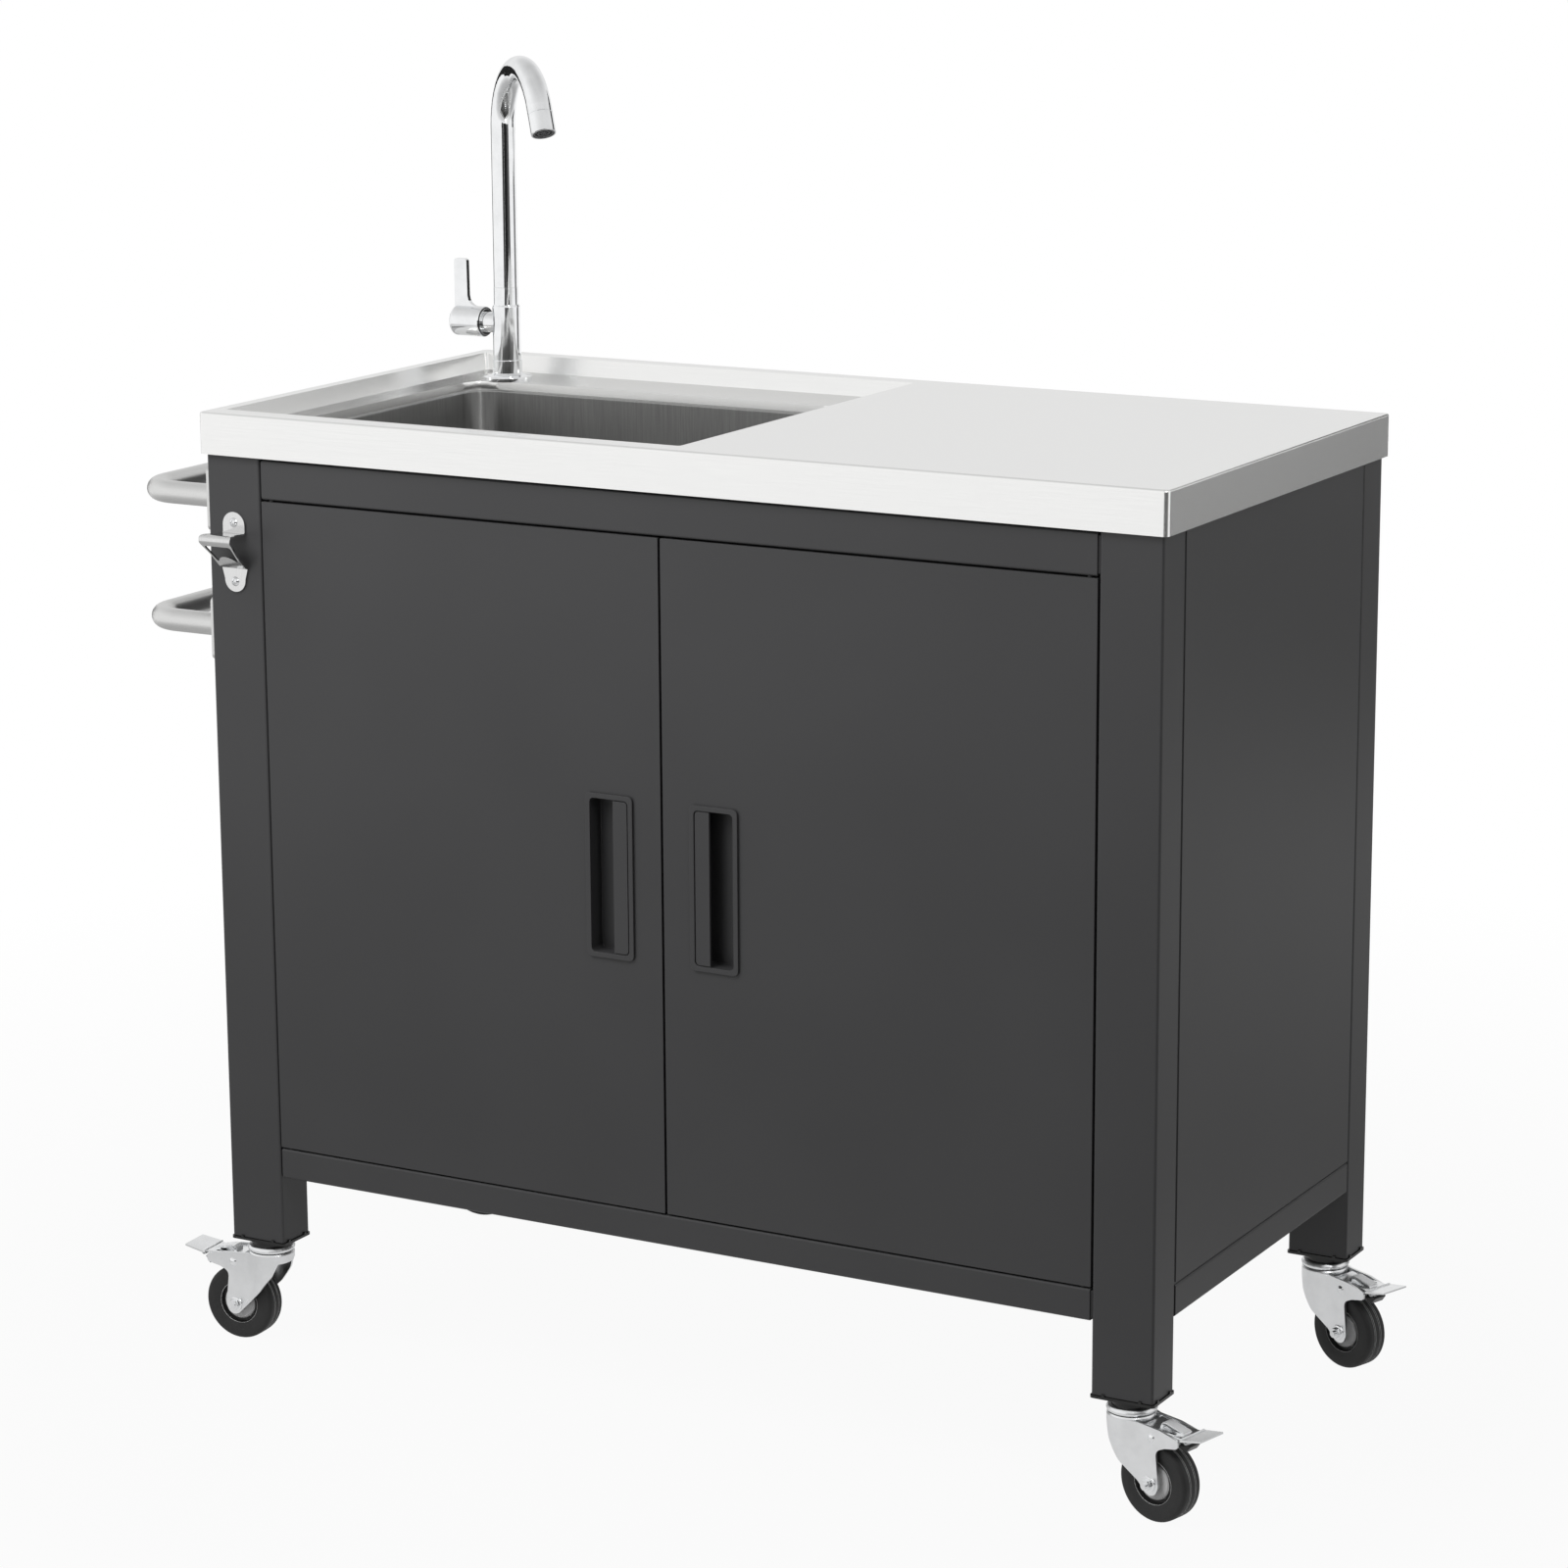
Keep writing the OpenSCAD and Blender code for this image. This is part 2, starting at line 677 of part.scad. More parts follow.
module bottle_opener() {
    shelf_half = 12.4;
    color(stainless) translate([opener_x, face_y, 0]) difference() {
        intersection() {
            rotate([90, 0, -90]) translate([0, 0, -20]) linear_extrude(40) polygon(opener_profile());
            rotate([90, 0, 0]) linear_extrude(40) polygon(mirrored(opener_half(), 0));
        }
        // The shelf is as narrow as the upper tab, and flares into the lip
        for (side = [0, 1]) mirror([side, 0, 0]) translate([0, 0, opener_lip_z - 5])
            linear_extrude(10) polygon(smooth([
                [shelf_half, 1, 0], [shelf_half, -18, 8], [19, -27.5, 2], [30, -27.5, 0], [30, 1, 0],
            ]));
        // The mouth: wide under the lip, with a broad round tooth that bites under the cap
        rotate([90, 0, 0]) translate([0, 0, 4.5]) linear_extrude(40) difference() {
            polygon(smooth([
                [-15, opener_lip_z - 7.5, 2], [15, opener_lip_z - 7.5, 2],
                [12, opener_back + 1.5, 2], [-12, opener_back + 1.5, 2],
            ]));
            translate([0, opener_back - 5.5]) circle(r = 12.4);
        }
        for (z = [opener_top - 10, opener_low + 10])
            translate([0, 1, z]) rotate([90, 0, 0]) cylinder(h = 6, r = 2.5);
    }
}

module opener_screws() {
    color(chrome) for (z = [opener_top - 10, opener_low + 10])
        translate([opener_x, face_y, z]) rotate([90, 0, 0]) {
            cylinder(h = opener_t, r = 2.5);
            difference() {
                translate([0, 0, opener_t]) rotate_extrude()
                    polygon(concat([[0, 0], [4.6, 0]], arc([0, -2.2], 5.1, 25, 85, 5), [[0, 2.9]]));
                for (turn = [0, 90]) rotate([0, 0, turn])
                    translate([0, 0, opener_t + 2.5]) cube([4.4, 1.1, 2.4], center = true);
            }
        }
}

// ---- Doors ----------------------------------------------------------------

// Side -1 is the left door, which turns about its left edge, and 1 the right one
module door(side) {
    outer_x = side * (span_w / 2 - door_gap);
    mid_x = outer_x - side * door_w / 2;
    lip = 16;
    block = [20, door_t, 22];
    color(charcoal) difference() {
        union() {
            translate([mid_x, face_y + door_t, door_z + door_h / 2]) rotate([90, 0, 0]) {
                translate([0, 0, door_t - skin]) linear_extrude(skin)
                    polygon(rounded(door_w, door_h, 1));
                frame_plate(rounded(door_w, door_h, 1),
                    rounded(door_w - 2 * skin, door_h - 2 * skin, 0.6), door_t - skin);
                frame_plate(rounded(door_w, door_h, 1),
                    rounded(door_w - 2 * lip, door_h - 2 * lip, 1), skin);
            }
            for (z = [door_z + block[2] / 2, door_z + door_h - block[2] / 2])
                translate([outer_x - side * (block[0] / 2 + 0.6), face_y + door_t / 2, z])
                    cube([block[0], block[1] - skin, block[2] - 1], center = true);
        }
        translate([side * pull_mid_x, face_y + 5, pull_mid_z]) rotate([90, 0, 0])
            linear_extrude(10) polygon(rounded(pull_w - 7, pull_h - 7, 5));
        for (z = [door_z - 1, door_z + door_h - 15])
            translate([outer_x - side * pivot_in, face_y + pivot_back, z])
                cylinder(h = 16, r = pivot_r + fit);
    }
}

// A pull set into the door: a proud frame, a box behind it, and a grip strip over the
// side of the box that is nearest the gap between the doors, with a fine groove round it
module pull(side) {
    proud = 2.5;
    cup = 18.3;
    wall = 1.3;
    open_w = pull_w - 9.6;
    open_h = pull_h - 9.6;
    strip = 16;
    seam = 0.9;
    color(charcoal) translate([side * pull_mid_x, face_y, pull_mid_z]) rotate([90, 0, 0]) {
        frame_plate(rounded(pull_w, pull_h, 5), rounded(open_w, open_h, 4), proud);
        translate([0, 0, -cup]) frame_plate(
            rounded(open_w + 2 * wall, open_h + 2 * wall, 5), rounded(open_w, open_h, 4), cup + 0.5);
        translate([0, 0, -cup]) linear_extrude(wall) polygon(rounded(open_w + 1, open_h + 1, 4));
        for (layer = [[seam, proud - 2, 1.7], [-0.4, proud - 3.2, 1.3]])
            translate([0, 0, layer[1]]) linear_extrude(layer[2]) intersection() {
                polygon(rounded(open_w - 2 * layer[0], open_h - 2 * layer[0], 3.6));
                translate([-side * (open_w - strip) / 2, 0]) square([strip, open_h + 2], center = true);
            }
    }
}

// Four fixed pins, held in the rails, that the doors turn on
module door_pivots() {
    into_door = 13;
    color(zinc) for (side = [-1, 1])
        translate([side * (span_w / 2 - door_gap - pivot_in), face_y + pivot_back, 0]) {
            translate([0, 0, base_top]) cylinder(h = door_gap + into_door, r = pivot_r);
            translate([0, 0, top_rail_z - door_gap - into_door])
                cylinder(h = door_gap + into_door, r = pivot_r);
        }
}

// Magnetic catches under the top rail, one for each door
module door_catches() {
    size = [42, 17, 11];
    color(plastic_black) for (side = [-1, 1])
        translate([side * 40, face_y + door_t + 0.5 + size[1] / 2, top_rail_z - size[2] / 2])
            difference() {
                cube(size, center = true);
                for (place = [-1, 1]) translate([place * 9, -size[1] / 2, 0])
                    cube([3, 3, size[2] - 4], center = true);
            }
}

// ---- Casters --------------------------------------------------------------

module caster_at(i) {
    translate([caster_at[i][0], caster_at[i][1], 0]) rotate([0, 0, caster_turn[i]]) children();
}

// The fixed half of a swivel: a threaded stem, a pressed race and the rivet head below the fork
module caster_stem() {
    rotate_extrude() polygon(concat(
        [[0, crown_z - 4], [8, crown_z - 4], [9, crown_z - 3], [9, crown_z - 0.2],
         [stem_r, crown_z - 0.2], [stem_r, race_z + 1.6], [20, race_z + 1.6], [20.6, race_z]],
        arc([20.2, race_z + 2.6], 2.9, -75, 10, 5),
        arc([19.4, race_z + 3.2], 3.3, 35, 90, 4), [[stem_r, race_top], [stem_r, leg_z + 22],
         [stem_r - 1, leg_z + 23], [0, leg_z + 23]]));
}

module caster_stems() {
    color(zinc) for (i = [0:3]) caster_at(i) caster_stem();
}

// The fork seen from above, its wall drawn in by `in`: a round crown that narrows to two cheeks
function fork_plan(in) =
    let (round = arc([0, 0], crown_r - in, 66, 294, 36), half = fork_half - in)
    concat([[20, half]], round, [[20, -half], [70, -half], [70, half]]);

// The fork seen from the side: u runs back from the swivel, and the second number is height
function fork_side() = smooth([
    [-30, crown_z + 8, 0], [-30, crown_z + 3.5, 0], [-16, crown_z + 2, 4], [-10.2, 71.5, 12],
    [2.4, 54.4, 20],
    [25, 33, 9.4], [31, 26.6, 9], [40, 27.4, 7], [43.6, 36, 8], [41.4, 56, 20], [40, 70, 7],
    [50, 74.5, 8], [64, 77.5, 3], [65.5, 85, 3], [44, 90, 10], [16, crown_z + 8, 4],
], 5);

module fork(i) {
    color(zinc) caster_at(i) difference() {
        union() {
            intersection() {
                linear_extrude(100) difference() {
                    polygon(fork_plan(0));
                    polygon(fork_plan(fork_t));
                    translate([60, 0]) square([40, 2 * (fork_half - fork_t)], center = true);
                }
                translate([0, 30, 0]) rotate([90, 0, 0]) linear_extrude(60) polygon(fork_side());
                translate([-50, -50, 0]) cube([150, 100, crown_z + 8.6]);
            }
            translate([0, 0, crown_z]) linear_extrude(3) intersection() {
                polygon(fork_plan(1));
                translate([-40, -40]) square([60, 80]);
            }
            rotate_extrude() polygon([
                [10, crown_z + 2], [20.8, crown_z + 2], [22.2, crown_z + 6], [22.4, lip_top - 1.4],
                [21.6, lip_top], [20.2, lip_top], [18.8, crown_z + 6], [17, crown_z + 4],
                [10, crown_z + 4],
            ]);
        }
        translate([0, 0, crown_z - 1]) cylinder(h = 12, r = stem_r + fit);
        for (hole = [[trail, wheel_r, axle_r], [brake_u, brake_z, brake_r]])
            translate([hole[0], 0, hole[1]]) rotate([90, 0, 0])
                cylinder(h = 60, r = hole[2], center = true);
    }
}

module on_axle() {
    translate([trail, 0, wheel_r]) rotate([90, 0, 0]) children();
}

// The axle bolt with its nut, and the rivet that the brake pedal turns on
module pins(i) {
    color(zinc) caster_at(i) {
        on_axle() {
            cylinder(h = 2 * fork_half + 2, r = axle_r, center = true);
            for (face = [0, 180]) rotate([face, 0, 0]) translate([0, 0, fork_half]) {
                rotate_extrude() polygon([[0, 0], [7.4, 0], [7, 1], [5.4, 1.4], [0, 1.4]]);
                translate([0, 0, 1.4]) hex_head(9, 4.2);
                cylinder(h = face == 0 ? 8 : 6.4, r = 2.8);
            }
        }
        translate([brake_u, 0, brake_z]) rotate([90, 0, 0]) {
            cylinder(h = 2 * fork_half, r = brake_r, center = true);
            for (face = [0, 180]) rotate([face, 0, 0]) translate([0, 0, fork_half])
                rotate_extrude()
                    polygon(concat([[0, 0], [4, 0]], arc([0, -3.6], 5.4, 42, 86, 4), [[0, 1.8]]));
        }
    }
}

module hub(i) {
    face = fork_half - fork_t - 0.4;
    color(hub_grey) caster_at(i) on_axle() rotate_extrude() polygon([
        [axle_r + fit, -face], [7, -face], [7.6, -10.4], [15.6, -9.6], [16.8, -8.6],
        [16.8, -web_half], [rim_r, -web_half], [rim_r, web_half], [16.8, web_half], [16.8, 8.6],
        [15.6, 9.6], [7.6, 10.4], [7, face], [axle_r + fit, face],
    ]);
}

// A solid rubber tyre with a rounded tread and two grooves, recessed round the hub
function tyre_half() = let (half = tyre_w / 2, step = [3, 4.2]) concat(
    [[wheel_r, 0], [wheel_r, step[0]], [wheel_r - 1.2, step[0] + 0.3],
     [wheel_r - 1.2, step[1] - 0.3], [wheel_r, step[1]]],
    arc([wheel_r - 4.2, half - 4.2], 4.2, 0, 84, 6),
    [[28, half], [20.7, 10.6], [19.6, 6.6], [17.4, 6.4], [17.4, web_half + 0.1],
     [rim_r, web_half + 0.1]]);

module tyre(i) {
    outline = tyre_half();
    color(rubber_black) caster_at(i) on_axle() rotate_extrude($fn = 96)
        polygon(mirrored(outline, 1));
}

// The brake pedal: a channel between the cheeks, which turns on a rivet. It carries a tread
// plate that stands out behind the fork, a bent spring tongue and a shoe for the tyre
module pedal(i) {
    half = fork_half - fork_t - 0.4;
    sheet_t = 1.6;
    color(zinc) caster_at(i) difference() {
        union() {
            translate([0, half, 0]) rotate([90, 0, 0]) linear_extrude(2 * half) polygon(smooth([
                [22.6, 87.6, 0], [24, 90.4, 1], [44, 87.8, 30], [69.5, 87.4, 0],
                [69.5, 85.8, 0], [44, 86.2, 30], [24, 88.6, 0.4],
            ]));
            intersection() {
                translate([0, 25, 0]) rotate([90, 0, 0]) linear_extrude(50) polygon(smooth([
                    [66.8, 87.4, 0], [69, 87.6, 2], [pedal_tip, 91.4, 0],
                    [pedal_tip, 89.8, 0], [69.4, 85.9, 2], [66.8, 85.8, 0],
                ]));
                linear_extrude(100) polygon(smooth([
                    [66.8, -18, 1.5], [pedal_tip, -tread_half, tread_corner],
                    [pedal_tip, tread_half, tread_corner], [66.8, 18, 1.5],
                ]));
            }
            for (face = [0, 1]) mirror([0, face, 0])
                translate([0, half, 0]) rotate([90, 0, 0]) linear_extrude(sheet_t) polygon(smooth([
                    [26, 89, 0], [60, 86.6, 0], [58, 80, 3], [42, 79, 3], [35, 76.6, 4], [28, 79, 4],
                ]));
            translate([0, 7, 0]) rotate([90, 0, 0]) linear_extrude(14) polygon(smooth([
                [58.5, 87, 0], [64.5, 87, 0], [70, 80.2, 1], [66.6, 75.4, 1], [59.5, 79, 2],
            ]));
            translate([0, 6, 0]) rotate([90, 0, 0]) linear_extrude(12) polygon(smooth([
                [36.5, 88, 0], [38.5, 92.2, 2], [43, 93, 2], [63, 88, 1], [63, 86.6, 0],
                [60, 86.6, 0], [43, 91.4, 1.5], [40.4, 90.8, 1], [39, 87.2, 0],
            ]));
        }
        for (face = [-1, 1]) translate([48, face * 9.4, 88]) cube([19, 3.2, 12], center = true);
        translate([brake_u, 0, brake_z]) rotate([90, 0, 0])
            cylinder(h = 60, r = brake_r + fit, center = true);
    }
}

// ---- Assembly -------------------------------------------------------------

module placed() {
    translate([-origin_x, -origin_y, 0]) children();
}

placed() leg(-1, -1);  // leg_front_left
placed() leg(1, -1);  // leg_front_right
placed() leg(-1, 1);  // leg_rear_left
placed() leg(1, 1);  // leg_rear_right
placed() leg_caps();
placed() cross_rail(-1, top_rail_z, top_rail_h - shadow_gap);  // rail_front_top
placed() cross_rail(-1, base_z, base_rail_h);  // rail_front_bottom
placed() cross_rail(1, top_rail_z, top_rail_h - shadow_gap);  // rail_rear_top
placed() cross_rail(1, base_z, base_rail_h);  // rail_rear_bottom
placed() side_rail(-1);  // side_rail_left
placed() side_rail(1);  // side_rail_right
placed() side_panel(-1);  // side_panel_left
placed() side_panel(1);  // side_panel_right
placed() back_panel();
placed() floor_panel();
placed() worktop();
placed() bowl();
placed() drain_strainer();
placed() drain_locknut();
placed() drain_tailpiece();
placed() faucet_body();
placed() faucet_shank();
placed() lever_seal();
placed() spout();
placed() aerator();
placed() lever();
placed() towel_bar(bar_upper_z);  // towel_bar_upper
placed() towel_bar(bar_lower_z);  // towel_bar_lower
placed() bar_screws();
placed() bottle_opener();
placed() opener_screws();
placed() door(-1);  // door_left
placed() door(1);  // door_right
placed() pull(-1);  // pull_left
placed() pull(1);  // pull_right
placed() door_pivots();
placed() door_catches();
placed() caster_stems();
placed() fork(0);  // fork_fl
placed() tyre(0);  // tyre_fl
placed() hub(0);  // hub_fl
placed() pins(0);  // pins_fl
placed() pedal(0);  // pedal_fl
placed() fork(1);  // fork_fr
placed() tyre(1);  // tyre_fr
placed() hub(1);  // hub_fr
placed() pins(1);  // pins_fr
placed() pedal(1);  // pedal_fr
placed() fork(2);  // fork_rl
placed() tyre(2);  // tyre_rl
placed() hub(2);  // hub_rl
placed() pins(2);  // pins_rl
placed() pedal(2);  // pedal_rl
placed() fork(3);  // fork_rr
placed() tyre(3);  // tyre_rr
placed() hub(3);  // hub_rr
placed() pins(3);  // pins_rr
placed() pedal(3);  // pedal_rr
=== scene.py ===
import json
import math

import bmesh
import bpy
from mathutils import Matrix, Vector

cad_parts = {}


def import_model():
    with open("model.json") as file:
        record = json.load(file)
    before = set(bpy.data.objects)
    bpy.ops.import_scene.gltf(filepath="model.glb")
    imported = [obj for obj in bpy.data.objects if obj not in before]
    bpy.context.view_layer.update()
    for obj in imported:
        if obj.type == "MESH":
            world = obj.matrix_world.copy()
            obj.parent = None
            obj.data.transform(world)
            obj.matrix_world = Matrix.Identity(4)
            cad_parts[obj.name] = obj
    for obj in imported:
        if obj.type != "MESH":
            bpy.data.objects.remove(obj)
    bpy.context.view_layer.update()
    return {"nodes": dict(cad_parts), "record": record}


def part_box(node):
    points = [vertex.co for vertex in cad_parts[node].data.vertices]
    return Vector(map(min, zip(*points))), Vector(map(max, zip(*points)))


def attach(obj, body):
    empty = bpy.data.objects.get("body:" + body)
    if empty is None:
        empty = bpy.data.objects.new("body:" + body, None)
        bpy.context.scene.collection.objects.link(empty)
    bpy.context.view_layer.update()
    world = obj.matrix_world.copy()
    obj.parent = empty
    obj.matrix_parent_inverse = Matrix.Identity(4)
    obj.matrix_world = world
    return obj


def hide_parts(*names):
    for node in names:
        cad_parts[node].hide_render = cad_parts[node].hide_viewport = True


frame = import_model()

nodes = frame["nodes"]
record = frame["record"]
scene = bpy.context.scene
BODY = {node: body for body, names in record["behaviour"]["bodies"].items() for node in names}
SLOT = {part["node"]: part["material_slot"] for part in record["subparts"]}
JOINT = {joint["name"]: joint for joint in record["behaviour"]["joints"]}
CASTERS = ("fl", "fr", "rl", "rr")


# ---- Node helpers ----------------------------------------------------------

def colour(code):
    """An sRGB hex colour as linear RGBA."""
    parts = [int(code[i:i + 2], 16) / 255 for i in (1, 3, 5)]
    return [c / 12.92 if c <= 0.04045 else ((c + 0.055) / 1.055) ** 2.4 for c in parts] + [1.0]


def add(tree, kind, settings=None, **inputs):
    """Adds one node. An input takes a value, or the output socket it is linked to, and is
    found by its name, or as _0 or _1 by its number."""
    made = tree.nodes.new("ShaderNode" + kind)
    for key, value in (settings or {}).items():
        setattr(made, key, value)
    for key, value in inputs.items():
        socket = made.inputs[int(key[1:]) if key[1:].isdigit() else key.replace("_", " ")]
        if isinstance(value, bpy.types.NodeSocket):
            tree.links.new(value, socket)
        else:
            socket.default_value = value
    return made


def ramp(tree, factor, stops):
    """A colour ramp through (position, hex) stops."""
    made = add(tree, "ValToRGB", Fac=factor)
    line = made.color_ramp.elements
    while len(line) < len(stops):
        line.new(0.5)
    for stop, (place, code) in zip(line, stops):
        stop.position = place
        stop.color = colour(code)
    return made.outputs["Color"]


def material(name, **settings):
    """An empty material: itself, its tree, its Principled shader and its Object coordinates."""
    made = bpy.data.materials.new(name)
    made.use_nodes = True
    tree = made.node_tree
    tree.nodes.clear()
    shader = add(tree, "BsdfPrincipled", **settings)
    add(tree, "OutputMaterial", Surface=shader.outputs["BSDF"])
    spot = add(tree, "TexCoord").outputs["Object"]
    return made, tree, shader, spot


def per_mm(size):
    """The noise scale whose features are about this many millimetres across."""
    return 1000 / size


# ---- Materials -------------------------------------------------------------

def powder_coat():
    # Polyester powder baked on steel: charcoal and satin, flowed out almost smooth, with a
    # faint orange peel of about 2.5 mm that only shows where light glances off it, and a tone
    # that drifts by a hair over about 220 mm, as the powder's thickness does.
    made, tree, shader, spot = material("powder_coat_charcoal", Roughness=0.42, IOR=1.5)
    cloud = add(tree, "TexNoise", Vector=spot, Scale=per_mm(220), Detail=2.0).outputs["Fac"]
    tone = ramp(tree, cloud, [(0.35, "#343435"), (0.65, "#373738")])
    tree.links.new(tone, shader.inputs["Base Color"])
    peel = add(tree, "TexNoise", Vector=spot, Scale=per_mm(2.5), Detail=2.0).outputs["Fac"]
    bump = add(tree, "Bump", Strength=0.1, Distance=0.0001, Height=peel)
    tree.links.new(bump.outputs["Normal"], shader.inputs["Normal"])
    return made


def stainless(name, stretch, light, dark, rough, grain_mm=0.8, streak=0.0, painted_shade_below=0.0):
    # Rolled stainless steel, satin or polished by its roughness, with a grain of fine lines that run
    # one way, drawn about 0.8 mm apart. In the bowl they are drawn 1.6 mm apart, where the real ones
    # are finer, so that they show, and they run upright: there they are painted reflection streaks.
    # Where a streak is asked for, each reflection is drawn out along the height, as on the walls of
    # a drawn bowl.
    made, tree, shader, spot = material(name, Metallic=1.0, Anisotropic=streak)
    if streak:
        upright = add(tree, "CombineXYZ", X=0.02, Z=1.0).outputs["Vector"]
        tree.links.new(upright, shader.inputs["Tangent"])
    along = add(tree, "Mapping", Vector=spot, Scale=stretch).outputs["Vector"]
    grain = add(tree, "TexNoise", Vector=along, Scale=per_mm(grain_mm), Detail=4.0,
                Roughness=0.6).outputs["Fac"]
    tone = ramp(tree, grain, [(0.3, dark), (0.7, light)])
    if painted_shade_below:
        # Painted shade: the well's deck, which faces up below this height, is coloured a shade
        # darker than the top.
        facing = add(tree, "SeparateXYZ", Vector=add(tree, "NewGeometry").outputs["Normal"])
        facing = add(tree, "MapRange", Value=facing.outputs["Z"], From_Min=0.5, From_Max=0.9)
        height = add(tree, "SeparateXYZ", Vector=spot).outputs["Z"]
        under = add(tree, "Math", {"operation": "LESS_THAN"}, _0=height, _1=painted_shade_below)
        share = add(tree, "Math", {"operation": "MULTIPLY"}, _0=facing.outputs["Result"],
                    _1=under.outputs[0]).outputs[0]
        tone = add(tree, "MixRGB", {"blend_type": "MULTIPLY"}, Fac=share, Color1=tone,
                   Color2=colour("#dedede")).outputs["Color"]
    tree.links.new(tone, shader.inputs["Base Color"])
    spread = add(tree, "MapRange", Value=grain, To_Min=rough - 0.02, To_Max=rough + 0.02)
    tree.links.new(spread.outputs["Result"], shader.inputs["Roughness"])
    bump = add(tree, "Bump", Strength=0.02, Distance=0.0001, Height=grain)
    tree.links.new(bump.outputs["Normal"], shader.inputs["Normal"])
    return made


def chrome_plate():
    # Chrome plate over buffed brass: nearly a mirror, with a slight haze of about 14 mm
    # from water marks.
    made, tree, shader, spot = material("chrome_plate", Metallic=1.0)
    haze = add(tree, "TexNoise", Vector=spot, Scale=per_mm(14), Detail=4.0).outputs["Fac"]
    tone = ramp(tree, haze, [(0.4, "#f2f3f4"), (0.7, "#eaebec")])
    tree.links.new(tone, shader.inputs["Base Color"])
    spread = add(tree, "MapRange", Value=haze, To_Min=0.03, To_Max=0.09)
    tree.links.new(spread.outputs["Result"], shader.inputs["Roughness"])
    return made


def plated_steel(name, light, dark, rough, metal=1.0):
    # Pressed steel with zinc plate: silvery, and faintly clouded every 16 mm or so by the
    # plating, with a fine press grain of 0.7 mm, drawn a little coarser than it is so that it
    # shows. A passivated plate is milky, which a lower share of metal gives it.
    made, tree, shader, spot = material(name, Metallic=metal)
    bloom = add(tree, "TexNoise", Vector=spot, Scale=per_mm(16), Detail=4.0, Roughness=0.6)
    tone = ramp(tree, bloom.outputs["Fac"], [(0.35, dark), (0.65, light)])
    tree.links.new(tone, shader.inputs["Base Color"])
    spread = add(tree, "MapRange", Value=bloom.outputs["Fac"], To_Min=rough - 0.03,
                 To_Max=rough + 0.03)
    tree.links.new(spread.outputs["Result"], shader.inputs["Roughness"])
    grit = add(tree, "TexNoise", Vector=spot, Scale=per_mm(0.7), Detail=2.0).outputs["Fac"]
    bump = add(tree, "Bump", Strength=0.1, Distance=0.0001, Height=grit)
    tree.links.new(bump.outputs["Normal"], shader.inputs["Normal"])
    return made


def moulded(name, light, dark, rough):
    # Moulded plastic or rubber: an even colour under a spark-eroded grain of about half a
    # millimetre, with slightly paler scuffs about 7 mm across. The door pivots are made the same way
    # in near-black, a painted shade for the dark door gap in which they show.
    made, tree, shader, spot = material(name, Roughness=rough)
    scuff = add(tree, "TexNoise", Vector=spot, Scale=per_mm(7), Detail=6.0, Roughness=0.7)
    tone = ramp(tree, scuff.outputs["Fac"], [(0.45, dark), (0.75, light)])
    tree.links.new(tone, shader.inputs["Base Color"])
    grain = add(tree, "TexNoise", Vector=spot, Scale=per_mm(0.5), Detail=2.0).outputs["Fac"]
    bump = add(tree, "Bump", Strength=0.2, Distance=0.0001, Height=grain)
    tree.links.new(bump.outputs["Normal"], shader.inputs["Normal"])
    return made


# Each grain runs along the axis whose factor is small.
TOP_GRAIN = (0.02, 1.0, 1.0)
# In the bowl the lines run upright as painted reflection streaks.
BOWL_STREAKS = (1.0, 1.0, 0.04)
BAR_GRAIN = (1.0, 0.03, 1.0)
STRIP_GRAIN = (1.0, 1.0, 0.1)
# The well's deck lies lower than this under the worktop's flat, in metres.
UNDER_THE_TOP = 0.004

POWDER = powder_coat()
# The well's deck below this height gets a painted shade.
SHEET = stainless("satin_stainless_sheet", TOP_GRAIN, "#f6f6f5", "#f2f2f1", 0.25,
                  painted_shade_below=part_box("worktop")[1].z - UNDER_THE_TOP)
# Painted shade: the bowl's steel is coloured far darker than the worktop's, for the shade inside the
# bowl.
SHADED_BOWL = stainless("drawn_stainless_bowl_painted_shade", BOWL_STREAKS, "#a9a9a8", "#989897", 0.32, grain_mm=1.6,
                 streak=0.9)
BAR = stainless("satin_stainless_tube", BAR_GRAIN, "#e2e2e1", "#d9d9d8", 0.36)
POLISHED = stainless("polished_stainless_strip", STRIP_GRAIN, "#e2e2e2", "#d8d8d8", 0.13)
CHROME = chrome_plate()
ZINC = plated_steel("bright_zinc_plate", "#f1f2f3", "#eaebec", 0.32)
BRIGHT_ZINC = plated_steel("buffed_zinc_plate", "#f4f5f6", "#e9eaeb", 0.17)
PALE_ZINC = plated_steel("passivated_zinc_clip", "#f4f5f6", "#e4e5e6", 0.4, metal=0.4)
PLASTIC = moulded("moulded_black_nylon", "#161616", "#0d0d0d", 0.24)
TYRE = moulded("moulded_black_rubber", "#232323", "#1b1b1b", 0.6)
# Painted shade: the door pivots are coloured near-black for the dark gap they show in.
PIVOT_SHADE_BLACK = moulded("pivot_steel_painted_shade", "#1d1d1e", "#141415", 0.4)
# Pale rubber for the tyre's raised lines: a painted highlight where their edges catch the light.
RIB_HIGHLIGHT = moulded("rubber_rib_painted_highlight", "#d8d8d8", "#bcbcbc", 0.5)
HUB = moulded("moulded_grey_nylon", "#e4e4e4", "#d8d8d8", 0.28)
INSERT = moulded("moulded_grey_acetal", "#707173", "#5c5d5f", 0.35)

FINISHES = {
    "frame_paint": POWDER, "stainless": SHEET, "chrome": CHROME, "zinc": ZINC,
    "black_plastic": PLASTIC, "rubber": TYRE, "hub_plastic": HUB,
}
